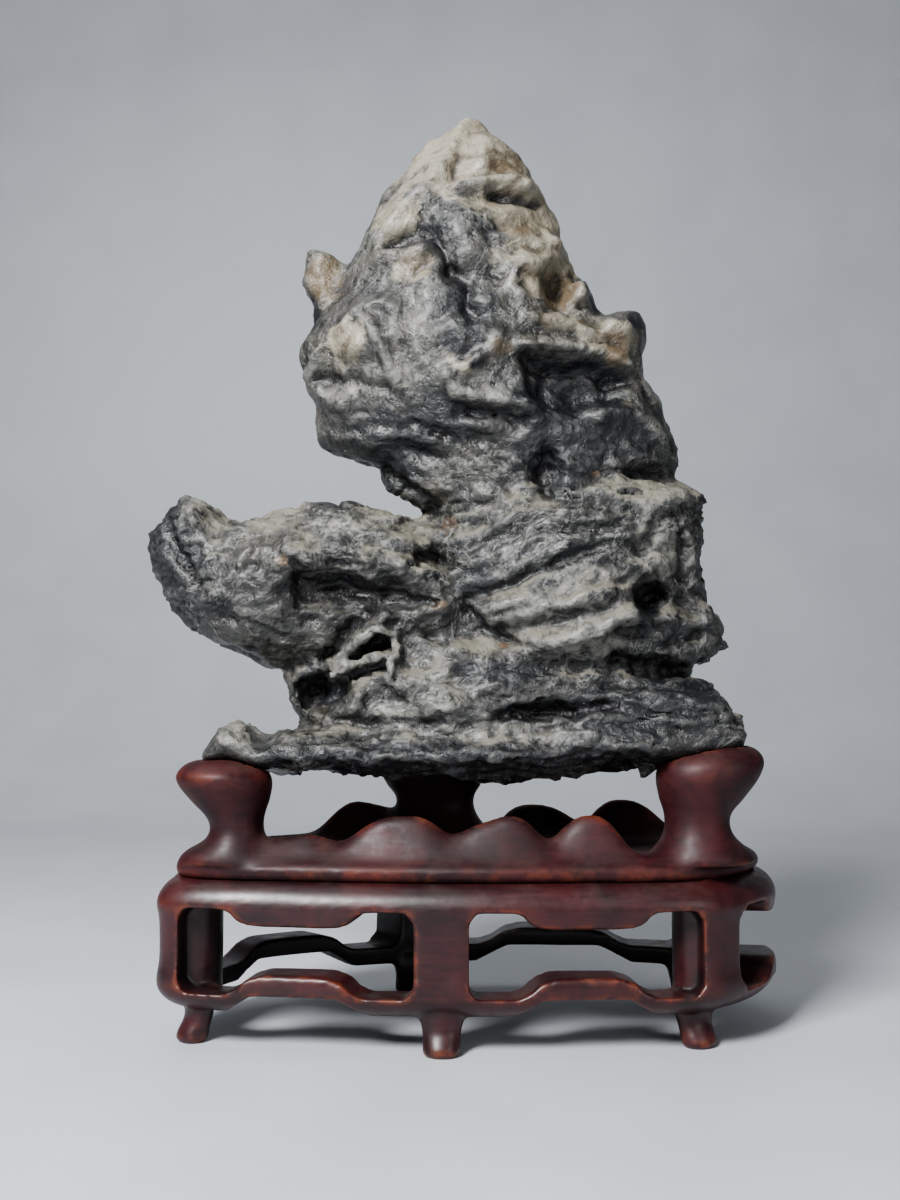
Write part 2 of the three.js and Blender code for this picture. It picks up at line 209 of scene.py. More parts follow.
def largest_shell(points, quads):
    """The skin without any small bubble shut inside it. Every point takes the least number found
    round its quads, again and again, until each connected shell shares one number of its own."""
    label = np.arange(len(points))
    while True:
        lower = label.copy()
        np.minimum.at(lower, quads.ravel(), np.repeat(label[quads].min(axis=1), 4))
        lower = lower[lower]
        if np.array_equal(lower, label):
            break
        label = lower
    kept = label == np.bincount(label).argmax()
    number = np.cumsum(kept) - 1
    print("points in small bubbles, left out:", int((~kept).sum()))
    return points[kept], number[quads[kept[quads[:, 0]]]]


def normals_of(points, quads):
    """Unit normals: the cross products of the quads' diagonals, added up at each point."""
    a, b, c, d = (points[quads[:, k]] for k in range(4))
    face = np.cross(c - a, d - b)
    total = np.stack([
        sum(np.bincount(quads[:, k], face[:, axis], len(points)) for k in range(4)) for axis in range(3)
    ], 1)
    return total / np.maximum(np.linalg.norm(total, axis=1)[:, None], 1e-9)


def smoothed(values, quads, times, amount=0.5):
    """Each point drawn amount of the way to the mean of its neighbours, times over.
    amount may differ from point to point."""
    start = quads.ravel()
    end = np.roll(quads, -1, axis=1).ravel()
    count = np.bincount(start, minlength=len(values)) + np.bincount(end, minlength=len(values))
    values = values.reshape(len(values), -1)
    amount = np.broadcast_to(amount, len(values))[:, None]
    for _ in range(times):
        mean = np.stack(
            [
                np.bincount(start, column[end], len(values)) + np.bincount(end, column[start], len(values))
                for column in values.T
            ],
            1,
        )
        values = values + amount * (mean / np.maximum(count, 1)[:, None] - values)
    return values


def relief_of(points, quads, times):
    """How far each point stands out of its smoothed self: above 0 on edges, below 0 in creases."""
    away = points - smoothed(points, quads, times)
    return (away * normals_of(points, quads)).sum(axis=1)


def finished(name, points, quads, attributes):
    """The final object, in metres, shaded smooth, with one float attribute for each entry."""
    mesh = bpy.data.meshes.new(name)
    mesh.vertices.add(len(points))
    mesh.vertices.foreach_set("co", (points * MM).ravel())
    mesh.loops.add(quads.size)
    mesh.loops.foreach_set("vertex_index", quads.ravel())
    mesh.polygons.add(len(quads))
    mesh.polygons.foreach_set("loop_start", np.arange(0, quads.size, 4))
    mesh.update(calc_edges=True)
    mesh.validate()
    mesh.polygons.foreach_set("use_smooth", np.ones(len(mesh.polygons), bool))
    for key, values in attributes.items():
        layer = mesh.attributes.new(key, "FLOAT", "POINT")
        layer.data.foreach_set("value", np.asarray(values, np.float32).ravel())
    made = bpy.data.objects.new(name, mesh)
    bpy.context.scene.collection.objects.link(made)
    print(name, "has", 2 * len(quads), "triangles")
    return made


# %% [markdown]
# ## The stone's masses
# Water ate this stone into a few masses: a leaning peak, a shoulder, an arm, a foot and a thin
# slab that it stands on, with two horns. Each could be sculpted; here each is lofted, as its
# height, width and depth at a few stations say most of what the eye reads, and the sides between
# follow a cubic. The shells are then fused into one skin.

# %% The masses
# Upright: [z, x low, x high, y low, y high], from the top.
PEAK = [
    [249.6, 4, 7, 0, 2], [247.6, 0, 11, -5, 7], [243, -5.5, 15, -8, 10], [237, -11, 20.5, -11, 12],
    [229, -17, 25.5, -14, 15], [220, -21.5, 30, -17, 18], [209, -27.5, 33.6, -19.5, 20],
    [198, -32, 39.6, -21.5, 21], [190, -37.5, 42.6, -23, 21.5], [182, -42, 48, -24, 22],
    [175, -40, 53, -23, 22], [169, -37, 58, -23, 22], [162, -37.8, 61, -21.5, 21],
    [155.5, -35, 63.5, -20, 20], [151.5, -23, 63, -19, 19], [145, -17.5, 60, -19, 19],
    [137, -7, 60, -20, 20], [128, 4, 50, -18, 18], [122, 20, 24, -2, 2],
]
SHOULDER = [
    [148.5, 58, 60, -4, -2], [146, 32, 66, -14, 14], [140, 8, 69.5, -20, 19], [132.5, -5, 70, -23, 21],
    [124, -11, 69, -24, 22], [115, -9, 70, -24, 22], [107, -6, 75.5, -23, 21], [100, -3, 75, -21, 19],
    [95, 10, 65, -19, 17], [90, 30, 34, -2, 2],
]
FOOT_OF_STONE = [
    [106, 0, 4, -4, 4], [101, -30, 54, -18, 17], [95, -44, 64, -22, 21], [88, -44, 67.5, -25, 23],
    [81.5, -41, 74, -27, 25], [75, -34, 76, -26, 24], [70, -10, 60, -20, 20], [66.5, 10, 14, -4, 4],
]
LEFT_HORN = [
    [213, -40.4, -38.8, -1, 1], [211.6, -41.2, -35, -3, 3], [208.6, -41.4, -29.6, -4.5, 4.5],
    [203, -40.8, -28.6, -5.5, 5.5], [197, -38.4, -28.4, -6.5, 6.5], [190, -37.6, -26, -8, 8],
    [181, -30, -28, -1, 1],
]
RIGHT_HORN = [
    [193, 50, 51.5, -6, -4], [191.4, 46, 53.4, -9, 0], [189.2, 36, 54, -12, 4], [185, 32, 53.4, -14, 6],
    [179, 33, 53, -14, 8], [173, 40, 54, -10, 8], [168, 46, 48, -1, 1],
]
# Lying: [x, z low, z high, y low, y high], from the right.
ARM = [
    [12, 110, 114, -2, 2], [0, 98, 130, -19, 18], [-12, 95.5, 135.5, -22, 20], [-25, 95, 139, -23, 20],
    [-38, 95.4, 139.2, -23, 19], [-50, 96, 137, -22, 18], [-60, 99.5, 135.5, -20, 17],
    [-67, 103.5, 138.5, -18, 15], [-72.5, 107.5, 142, -15, 13], [-77.5, 114, 137.5, -12, 11],
    [-81.5, 119.5, 132.5, -8, 7], [-83, 125, 127, -1, 1],
]
SLAB = [
    [77.5, 75, 77, -4, 0], [75.5, 70.5, 81, -23, 21], [64, 68, 85, -28, 26], [46, 67.4, 83, -30, 27],
    [36, 67.2, 81, -30, 27], [26, 65.6, 81, -30, 27], [6, 65.4, 81, -30, 27], [-14, 65.6, 80, -29, 26],
    [-30, 66.4, 80, -28, 23], [-43, 67, 78.5, -27, 17], [-50, 67.6, 75.5, -26, 12],
    [-55, 68.4, 80, -25, 8], [-59, 69, 79.5, -24, 4], [-63, 69.4, 75, -23, -3], [-66, 70.5, 71.5, -15, -11],
]

# The upright right end of the slab, lying.
RIGHT_BLOCK = [
    [77.5, 73, 76, -12, -6], [74.5, 70.5, 84, -24, -3], [66, 69.5, 91, -27.5, 0], [50, 68.6, 93, -28, 0],
    [36, 68.6, 90, -28, 0], [25, 69, 85, -27, 0], [15, 72, 78, -20, -4],
]
# Small knobs, upright: two on the peak's left edge, and one hanging under the slab.
NUBS = [
    [
        [225.2, -17, -16, -1, 1], [223.6, -19, -13.5, -4, 3],
        [220, -20.5, -11, -6, 5], [216, -17, -14, -1, 1],
    ],
    [
        [236.6, -8.5, -7.5, -1, 1], [235, -10.4, -4.5, -3, 3],
        [231, -12, -2, -5, 5], [227, -8, -6, -1, 1],
    ],
    [
        [71, 49, 50, -16, -15], [69, 47, 53.6, -18, -12.5],
        [66.6, 48.4, 53, -17, -13.5], [65.2, 50, 51.4, -16, -15],
    ],
]
FIRST_SKIN = 1.5  # the lattice for the first fusing, in millimetres
SKIN = 1.0  # the lattice for the stone's final skin
WOOD_SKIN = 0.66  # the same for the two carvings
MASS_ROUNDING = 3  # smoothing passes that take the lattice's steps off the fused masses


def loft(stations, lying=False, around=64, rows=90):
    """A closed body: at each station an ellipse between its low and high sides, the cubic through
    the stations giving every row. Angle runs round the ellipse, and both ends are capped."""
    at, a0, a1, b0, b1 = spline(stations, np.linspace(0, 1, rows)).T[:, :, None]
    angle = np.linspace(0, 2 * np.pi, around, endpoint=False)[None, :]
    first = (a0 + a1) / 2 + (a1 - a0) / 2 * np.cos(angle)
    second = (b0 + b1) / 2 + (b1 - b0) / 2 * np.sin(angle)
    along = at + 0 * angle
    points = np.stack([along, second, first] if lying else [first, second, along], -1).reshape(-1, 3)
    faces = grid_faces(rows, around)
    caps = [np.arange(around)[::-1], np.arange(around) + (rows - 1) * around]
    return points, faces, [cap.tolist() for cap in caps]


def gathered(name, bodies):
    """Several lofted bodies as one object."""
    points, faces, caps, start = [], [], [], 0
    for body, quads, ends in bodies:
        points.append(body)
        faces.append(quads + start)
        caps += [[k + start for k in end] for end in ends]
        start += len(body)
    return as_object(name, np.concatenate(points), np.concatenate(faces), caps)


stone_bodies = [loft(mass) for mass in (PEAK, SHOULDER, FOOT_OF_STONE, LEFT_HORN, RIGHT_HORN, *NUBS)]
stone_bodies += [loft(mass, lying=True) for mass in (ARM, SLAB, RIGHT_BLOCK)]
stone, stone_quads = fused(gathered("masses", stone_bodies), FIRST_SKIN)
stone = smoothed(stone, stone_quads, MASS_ROUNDING)
print("fused masses:", len(stone), "points")

# %% [markdown]
# ## Hollows and folds
# The face of the stone is full of things with a place of their own: a deep hole with a knob in
# it, a ledge over a dark recess, two thin ribs, a crack, a white band. They could be cut with
# booleans; here the skin itself is pushed, which keeps it one closed surface. A hollow pushes
# the near skin back by an ellipse's depth. A fold follows a line on the face, and pushes in or
# out by a bell curve of the distance to that line.

# %% Hollows and folds, as places on the face
# Hollows: x, z, half width, half height, depth.
HOLLOWS = [
    (29.5, 196, 6.5, 9.4, 8.5), (33, 168, 15, 7.3, 7), (25, 147, 5, 8, 3.5),
    (-4, 123.5, 4.7, 3.6, 9), (52, 112.5, 5.2, 6.8, 10), (-27.5, 114.5, 15.6, 8.3, 7),
    (-34, 89, 7, 6, 13), (24.5, 83.5, 11.7, 2.3, 4),
]
# The same on the far face.
FAR_HOLLOWS = [
    (4, 214, 7, 8, 5), (-18, 188, 8, 6, 6), (22, 176, 10, 8, 8), (40, 142, 7, 5, 6), (10, 122, 12, 5, 6),
    (-48, 118, 9, 7, 5), (48, 98, 9, 4, 5), (-20, 88, 8, 5, 7),
]
# Folds: the line's points (x, z), the bell's half width, and how far it stands out.
FOLDS = [
    # the peak
    ([(-9.5, 222), (-14, 217.5), (-19.5, 210)], 2.6, 2.2),
    ([(-7, 208), (-9, 215.5), (-7, 222.5), (-2.5, 230)], 2.3, 1.6),
    ([(-8.5, 220), (-6.5, 213), (-2.5, 207), (-1.5, 200.5), (4, 196), (5, 186.5)], 2.1, -2.6),
    ([(-1.5, 200.5), (5.5, 199.5), (12.5, 199.5), (16, 191)], 1.8, -1.7),
    ([(-17.5, 209), (-8, 210.5)], 2.5, -2.8),
    ([(1, 223.5), (8, 225.5), (16, 227), (22.5, 226)], 1.7, 2.6),
    ([(11.5, 222.5), (22.5, 221.5)], 2.2, -3),
    ([(-7, 206.5), (-12.5, 204.5), (-18.5, 206)], 1.6, 1.5),
    ([(27.5, 210), (29, 208)], 2.6, 3),
    ([(12.5, 209), (18.5, 210), (25, 208)], 1.8, 1.8),
    ([(8.5, 232), (11, 237.5)], 2.8, 1.8),
    ([(2.5, 239.5), (1.5, 232.5), (0.5, 228)], 1.0, -1.4),
    ([(18.5, 192), (15, 196), (18.5, 202), (25, 203)], 1.9, 2.4),
    ([(32, 195), (32.5, 193.5)], 2.6, 9),
    # ledges and curls under it
    ([(21.5, 187), (29, 186), (39.5, 183.5), (47, 186)], 1.7, 2.8),
    ([(-29.5, 184), (-25, 189), (-20.5, 182.5), (-16, 175), (-14, 169.5)], 1.3, 2.2),
    ([(-24.5, 189), (-18.5, 191), (-14.5, 188)], 1.4, 1.5),
    ([(-35, 179.5), (-38, 174.5), (-33.5, 168.5), (-29.5, 165.5)], 2.1, 2.4),
    ([(-35.5, 173), (-27.5, 171.5), (-16, 169)], 1.0, -2.2),
    ([(14, 181), (12, 177), (6, 175.5), (3, 173)], 1.7, 2.2),
    ([(-1, 170), (3, 165.5), (11, 164.5), (20.5, 163.5)], 2.0, 2.6),
    ([(1.5, 161), (10.5, 161), (19, 159)], 1.3, -3),
    ([(18, 178.5), (25, 179.5), (33.5, 179.5), (42, 179), (47.5, 176.5)], 1.3, 3),
    ([(20, 174.5), (29, 174.5), (39.5, 173.5), (46, 171.5)], 2.3, -5),
    ([(27, 152), (24, 146), (25.5, 141)], 1.8, -2.5),
    ([(48, 146.5), (55, 148), (60.5, 145.5)], 1.6, -4),
    ([(39.5, 161), (50, 162.5), (57.5, 157)], 2.1, 2),
    ([(-17, 148.5), (-10.5, 144), (-4.5, 138.5)], 1.6, -2.8),
    ([(-13, 154.5), (-2.5, 149.5), (5, 141)], 1.0, -1.8),
    ([(-18.5, 151.5), (-12, 147), (-5, 142)], 1.0, 1.4),
    ([(-29, 158.5), (-18.5, 159.5), (-5.5, 157), (13, 154.5)], 0.9, -1.5),
    ([(-26.5, 163.5), (-13, 161.5), (0, 154.5), (18.5, 146.5)], 0.9, -1.5),
    ([(5.5, 154.5), (18.5, 151.5), (29, 138.5), (39, 137)], 0.9, -1.6),
    # the arm
    ([(-70.5, 132.5), (-66.5, 137.5)], 3.6, 2.6),
    ([(-74.5, 130.5), (-71, 123.5), (-65.5, 116)], 1.3, -2.1),
    ([(-41, 114.5), (-31.5, 116), (-19.5, 115), (-12.5, 112)], 4.4, -3.5),
    ([(-39, 106.5), (-27.5, 106.5)], 3.2, -2),
    ([(-42.5, 126.5), (-33.5, 119.5), (-25.5, 121), (-18, 117)], 1.4, 2.4),
    ([(-22.5, 123), (-22, 122.5)], 1.4, 2.2),
    ([(-13.5, 122), (-13, 121.5)], 1.7, 2.2),
    ([(-40, 122.5), (-39, 119)], 1.8, -3),
    # the crack, the ribs and the round pocket under the arm
    ([(-5.5, 112), (-13, 110.5), (-22, 108), (-28.5, 102.5), (-34, 97)], 1.2, -4),
    ([(-25, 97.5), (-20.5, 100), (-17, 101)], 1.6, -5),
    ([(-26, 92.5), (-21.5, 94), (-17.5, 94.5)], 1.1, -4),
    ([(-41, 93.5), (-40.5, 87.5), (-38, 82.5), (-32.5, 81), (-26, 84), (-23.5, 88)], 1.1, 2),
    # the right side and its hole
    ([(51, 136), (56.5, 138.5), (60, 140.5)], 2.9, 3),
    ([(62.5, 133), (65.5, 122.5)], 1.6, 2),
    ([(61, 130.5), (62, 117.5)], 0.9, -2.6),
    ([(56, 115), (62.5, 112), (65, 108.5)], 2.6, -3),
    ([(65, 106.5), (70.5, 106.5)], 2.1, 2),
    ([(53.5, 105.5), (62.5, 105), (69.5, 104.5)], 0.9, -2.8),
    ([(57, 101.5), (66.5, 102.5)], 1.6, -2.6),
    # the white band and the beds round it
    ([(11, 109), (21, 111), (31, 112), (41.5, 114.5)], 3.1, 4.0),
    ([(20, 101), (31, 102), (40.5, 105.5), (47.5, 108)], 3.2, 5.0),
    ([(13, 105.5), (22, 105), (30.5, 107), (39, 109.5)], 0.9, -1.4),
    ([(42, 103.5), (49.5, 104)], 1.4, -3.6),
    ([(44.5, 96), (52, 94.5), (62, 93.5)], 2.1, -4),
    ([(4.5, 110.5), (8.5, 105), (14.5, 102), (21, 100)], 1.1, -3.2),
    ([(4, 113), (16, 116), (30, 123), (40, 125.5)], 1.2, -2.6),
    ([(9, 108), (23, 111.2), (38, 116.5), (47, 118)], 1.0, -2.4),
    ([(2.5, 124.5), (16, 129), (30, 130.5), (43, 131.5)], 1.0, -1.8),
    ([(-2, 86), (-1, 85)], 2.1, 2.4),
    ([(-3, 94.5), (-1.5, 93.5)], 1.8, 2),
    ([(0, 100), (1.5, 99.5)], 2.1, 2),
    ([(-10, 91), (-9, 90)], 1.8, 2),
    ([(13, 81.5), (23.5, 83), (36, 85), (42, 86)], 1.3, -5),
    ([(-5, 77), (8, 79), (23.5, 79), (39, 81.5)], 0.9, -1.8),
    ([(39, 90.5), (52, 90), (65, 89)], 0.8, -2),
    ([(39, 84), (54.5, 83.5), (68, 83)], 0.8, -2),
    ([(37.5, 80.5), (51.5, 79.5), (66, 79)], 0.8, -1.5),
    ([(23.5, 94.5), (36.5, 95.5), (44, 96)], 0.9, -1.8),
    # the slab
    ([(-31, 77), (-18, 74.5), (-2.5, 75)], 1.0, -2),
    ([(-27, 81.5), (-13, 80.5), (-2.5, 81.5)], 0.9, -1.8),
    ([(-58, 77), (-53, 79), (-50.5, 76.5)], 2.3, 2),
    ([(-48.5, 78), (-47, 73)], 1.1, -2.2),
    ([(-47, 74.5), (-39, 77), (-29.5, 78)], 2.1, 1.5),
    ([(38, 76.5), (39.5, 72)], 0.8, -1.2),
    ([(22, 76), (25.5, 70)], 0.8, -1.2),
]

# Thin ribs that stand clear of the skin: places (x, z) along each, and its thickness.
RIBS = [
    ([
        (-31, 95.4), (-25.8, 99.9), (-21.8, 103.1), (-18.6, 104.6),
        (-15.3, 103.5), (-14, 100.7), (-14.9, 96), (-15.3, 91.5),
    ], 1.75),
    ([(-31.6, 92.4), (-26.6, 94.9), (-22.6, 96.5), (-16.5, 97.8)], 1.6),
]
RIB_STEPS, RIB_SIDES = 60, 14
RIB_REACH = 4.0  # how far round each place the skin is searched for its foremost point
RIB_OUT = 0.4  # how far a rib's middle stands in front of that point


def rib(p, line, thick):
    """A circle carried along a line that lies on the front of the skin p: near each place the
    foremost point of the skin gives the depth, and the circle, waving a little in size as
    0.85 + 0.15 sin 9t, thins to nothing at both ends as the root of 6t(1 - t)."""
    t = np.linspace(0, 1, RIB_STEPS)
    flat = spline(line, t)
    depth = np.array([p[np.hypot(p[:, 0] - x, p[:, 2] - z) < RIB_REACH, 1].min() for x, z in line])
    out = np.interp(t, np.linspace(0, 1, len(line)), depth) - RIB_OUT
    path = np.column_stack([flat[:, 0], out, flat[:, 1]])
    ahead = np.gradient(path, axis=0)
    ahead /= np.linalg.norm(ahead, axis=1)[:, None]
    side = np.cross(ahead, [0, 1, 0])
    side /= np.linalg.norm(side, axis=1)[:, None]
    up = np.cross(side, ahead)
    angle = np.linspace(0, 2 * np.pi, RIB_SIDES, endpoint=False)
    radius = thick * (0.85 + 0.15 * np.sin(9 * t)) * np.clip(6 * t * (1 - t), 0, 1) ** 0.5 + 0.02
    ring = np.cos(angle)[None, :, None] * side[:, None] + np.sin(angle)[None, :, None] * up[:, None]
    points = (path[:, None] + radius[:, None, None] * ring).reshape(-1, 3)
    first = np.arange(RIB_SIDES)
    caps = [first[::-1].tolist(), (first + (RIB_STEPS - 1) * RIB_SIDES).tolist()]
    return points, grid_faces(RIB_STEPS, RIB_SIDES), caps


def from_line(p, line):
    """Distance in the face's plane from each point to a line through the given (x, z) places:
    the least over its pieces of the distance to the nearest spot between each piece's ends."""
    flat = p[:, [0, 2]]
    line = np.asarray(line, float)
    best = np.full(len(p), 1e9)
    for a, b in zip(line[:-1], line[1:]):
        t = np.clip((flat - a) @ (b - a) / ((b - a) @ (b - a)), 0, 1)
        best = np.minimum(best, np.linalg.norm(flat - a - t[:, None] * (b - a), axis=1))
    return best


def fold_height(p):
    """The sum of every fold's bell, height exp(-(distance / width)^2), and how near the nearest is."""
    total = np.zeros(len(p))
    nearest = np.zeros(len(p))
    bend = 1.6 * np.stack([layered_noise(p, 8, 3, seed) for seed in (71, 72, 73)], 1)
    for line, width, height in FOLDS:
        far = from_line(p + min(width / 2, 1) * bend, line) / width
        total += height * np.exp(-(far**2))
        nearest = np.maximum(nearest, np.exp(-((far / 2.2) ** 2)))
    return total, nearest


def hollowed(p, facing, hollows, way):
    """Points pushed along y by an ellipse's depth. facing says how much each point looks that way."""
    p = p.copy()
    for x, z, wide, high, deep in hollows:
        bend = np.stack([layered_noise(p, 8, 3, 77), layered_noise(p, 8, 3, 87)], 1) * 2.4
        r2 = ((p[:, 0] + bend[:, 0] - x) / wide) ** 2 + ((p[:, 2] + bend[:, 1] - z) / high) ** 2
        p[:, 1] += way * facing * deep * np.clip(1 - r2, 0, 1) ** 0.8
    return p


# %% [markdown]
# ## Lumps, beds and pits
# The peak is smooth rounded lumps with sharp seams between them. The lower half is bedded: thin
# layers, a little tilted, worn back unevenly. The size of gradient noise near zero gives seams,
# and noise squeezed along the layers gives beds. Near the three seats the stone is left as it is.

# %% Press all of it into the skin
SEATS = [(-58, -17), (66, -19), (-5, 22)]  # the middles of the three rests, x and y
FOLD_GAIN = 1.15  # how much more than its stated height a fold is pressed


def seat_mask(p):
    """0 on the underside over a rest, 1 away from it."""
    near = np.min([np.hypot(p[:, 0] - x, p[:, 1] - y) for x, y in SEATS], axis=0)
    return np.maximum(ramp(near, 13, 19), ramp(p[:, 2], 73, 79))


def bedded(p):
    """Points with the beds laid level: z plus a tilt times x plus a slow waver. The beds fall gently
    to the right, but in the shoulder they climb to the right."""
    climb = ramp(p[:, 2], 96, 106) * (1 - ramp(p[:, 2], 132, 142)) * np.clip(p[:, 0] + 2, 0, 60)
    level = p.copy()
    level[:, 2] += 0.13 * p[:, 0] - 0.5 * climb + 2.2 * gradient_noise(p, 26, 5)
    return level


def smooth_part(p):
    """1 on the smooth pale part of the shoulder, falling to 0 round it."""
    return np.exp(-(((p[:, 0] - 28) / 34) ** 2 + ((p[:, 2] - 109) / 15) ** 2) ** 2)


normal = normals_of(stone, stone_quads)
front = ramp(-normal[:, 1], -0.25, 0.45)
back = ramp(normal[:, 1], -0.1, 0.5)
stone = hollowed(stone, front, HOLLOWS, 1)
stone = hollowed(stone, back, FAR_HOLLOWS, -1)
peak = ramp(stone[:, 2], 138, 178)  # 1 in the smooth upper part
bedding = bedded(stone)
lumps = 2.3 * np.abs(gradient_noise(stone + 3 * gradient_noise(stone, 18, 8)[:, None], 13, 11)) - 0.7
lumps += 1.5 * gradient_noise(stone, 24, 12)
beds = 1.0 * gradient_noise(bedding, (26, 20, 4.2), 21) + 1.2 * gradient_noise(bedding, (21, 17, 9), 22)
beds += 0.9 * (0.5 - np.abs(gradient_noise(bedding, (19, 15, 3.4), 23)) * 2)
beds += 1.15 * facet_noise(bedding + 1.5 * gradient_noise(stone, 9, 24)[:, None], (13, 11, 6), 25)
knobs = 1.6 * (0.6 - np.abs(gradient_noise(stone + 2 * gradient_noise(stone, 9, 26)[:, None], 11, 27)) * 2)
on_arm = ramp(-stone[:, 0], 5, 25) * ramp(stone[:, 2], 95, 105)
beds = beds * (1 - 0.6 * smooth_part(stone)) * (1 - 0.5 * on_arm) + knobs * on_arm
push = peak * lumps + (1 - peak) * beds
folds, calm = fold_height(stone)
push = push * (1 - 0.75 * front * calm) + FOLD_GAIN * front * folds
toward = normal + np.stack([0 * front, -0.8 * front, 0 * front], 1)
toward /= np.linalg.norm(toward, axis=1)[:, None]
stone = stone + toward * (push * seat_mask(stone))[:, None]
pressed = [(stone, stone_quads, [])] + [rib(stone, line, thick) for line, thick in RIBS]
stone, stone_quads = fused(gathered("pressed", pressed), SKIN)
stone, stone_quads = largest_shell(stone, stone_quads)
print("pressed skin:", len(stone), "points")

# %% [markdown]
# ## Fine weathering
# Up close the peak is dimpled and waxy, and the rest is rough with small pits and split layers.
# This is pressed in after the skin has been made even again, so that it holds fine detail.

# %% Fine weathering
normal = normals_of(stone, stone_quads)
peak = ramp(stone[:, 2], 138, 178)
bedding = bedded(stone)
near = cell_noise(stone + 1.5 * gradient_noise(stone, 6, 31)[:, None], 6.5, 32)
dimples = 0.8 * np.abs(gradient_noise(stone, 6.5, 33)) + 0.35 * gradient_noise(stone, 3.2, 34)
rough = 0.35 * layered_noise(bedding, (7, 6, 3), 3, 35) + 0.4 * facet_noise(bedding, (5.6, 5, 2.2), 38)
rough -= 0.9 * (1 - ramp(near, 0.12, 0.42)) * ramp(gradient_noise(stone, 20, 36), -0.1, 0.3)
rough -= 0.7 * (1 - ramp(np.abs(gradient_noise(bedding, (30, 26, 3.6), 37)), 0.0, 0.09))
fine = peak * dimples + (1 - peak) * rough * (1 - 0.8 * smooth_part(stone))
stone = stone + normal * (fine * seat_mask(stone))[:, None]
fine_relief = relief_of(stone, stone_quads, 3)
broad_relief = relief_of(stone, stone_quads, 30)
print("relief, fine and broad, mm:", fine_relief.std().round(3), broad_relief.std().round(3))

# %% [markdown]
# ## The stone's colours, placed
# The stone is dark slate with paler mottling. Cream mineral covers the peak and its right side,
# tan sits in it, and a middle grey lies on the peak's left, the arm and the foot; on the peak's left
# face the grey is partly painted shade. The dark places are partly the stone's own dark patches and
# partly painted shade in holes, under ledges and along the slab's lower edge, and the recesses are
# painted nearly black as shade. Dust lies on what faces up in the lower half, and a few rusty specks
# sit in the holes. They could be painted by hand; here each is a number at every point of the skin,
# worked out from a few ellipses and from the shape, so that it follows the relief.

# %% Where each colour lies
# Places on the face, each an ellipse: x, z, half width, half height.
CREAM = [
    (6, 238, 24, 17), (22, 218, 15, 20), (-14, 216, 8, 9), (26, 204, 12, 11), (-10, 201, 5, 6),
    (33, 195, 3.5, 6), (25, 216, 12, 9), (-28, 181, 6, 6), (5, 176, 6, 5), (42, 184, 10, 6),
    (30, 186, 12, 3),
]
PALE = [
    (35, 103.5, 15, 6), (22, 105, 12, 5), (28, 113, 17, 3), (-27, 97.5, 3.5, 1.6),
    (-22, 101.5, 3.5, 1.6), (-17, 104, 3, 1.4), (-28, 94.4, 4, 1.4), (-22, 96.6, 4, 1.4),
    (-14.5, 97, 1.6, 5), (-2, 91, 9, 9), (-26, 100, 10, 5), (8, 78, 30, 4), (60, 141, 8, 5),
    (-10, 84, 14, 3), (-28, 133, 16, 4), (54, 126, 9, 9), (36, 118, 16, 4), (-56, 78, 9, 4),
    (8, 166, 11, 3), (-17, 171, 13, 4),
]
# Dark places: partly the stone's own dark patches, partly painted shade in holes, under ledges and along
# the slab's lower edge.
DARK_AND_SHADE = [
    (-76, 131, 9, 13), (34, 168, 14, 9), (25, 148, 5, 8), (4, 186, 8, 14), (-34, 89, 8, 7),
    (45, 160, 14, 8), (-4, 212, 4, 9), (51.5, 112, 5, 7), (-72, 126, 8, 10), (34, 162, 20, 13),
    (28, 150, 14, 10), (-12, 156, 14, 8), (51, 189, 3.5, 4), (0, 71.5, 60, 5), (46, 83, 24, 7),
    (-14, 150, 10, 8), (24, 83, 13, 3), (14, 93, 15, 4), (48, 156, 12, 6), (6, 118, 6, 5),
    (58, 88, 14, 5), (-2, 160, 9, 7), (-38, 192, 3, 8),
]
# A middle grey: partly the stone's own tone, partly painted shade darkening the peak's left face.
GREY_AND_SHADE = [
    (-24, 190, 13, 17), (-10, 159, 30, 13), (-9, 227, 7, 7), (-46, 112, 14, 12), (-25, 113, 17, 7),
    (0, 206, 6, 12), (-48, 75, 22, 6), (10, 84, 52, 7), (-74, 130, 9, 11),
]
RUST = [
    (0, 133, 3.2, 3), (38.5, 146, 1.6, 1.4), (-2.5, 111, 2.6, 1.8), (14.5, 100.5, 2.2, 1.4),
    (-44, 122.5, 1.8, 1.6), (34, 198, 2, 3),
]
TAN = [
    (-35, 204, 6, 9), (44.5, 180, 3.5, 6), (30, 196, 5.5, 8), (10, 178, 6, 3.5), (16, 231, 7, 3),
    (19, 212, 4, 4),
]


def spots(p, places, wobble_seed):
    """How much each point lies in any of some ellipses on the face: exp(-r^4), with r bent by
    noise so that no edge is round."""
    bend = 0.35 * layered_noise(p, 9, 3, wobble_seed)
    total = np.zeros(len(p))
    for x, z, wide, high in places:
        r = np.hypot((p[:, 0] - x) / wide, (p[:, 2] - z) / high) + bend
        total = np.maximum(total, np.exp(-(np.clip(r, 0, 9) ** 4)))
    return total


normal = normals_of(stone, stone_quads)
shown = ramp(-normal[:, 1], -0.6, 0.3)
elsewhere = 1 - shown
mottle = layered_noise(stone, 20, 4, 51)
on_rib = np.max([np.exp(-((from_line(stone, line) / (1.2 * thick)) ** 4)) for line, thick in RIBS], axis=0)
high_up = ramp(stone[:, 2], 185, 225) * ramp(mottle, -0.2, 0.4)
cream = np.maximum(shown * spots(stone, CREAM, 41), elsewhere * high_up)
pale = np.maximum(shown * spots(stone, PALE, 42), elsewhere * ramp(mottle, 0.25, 0.7))
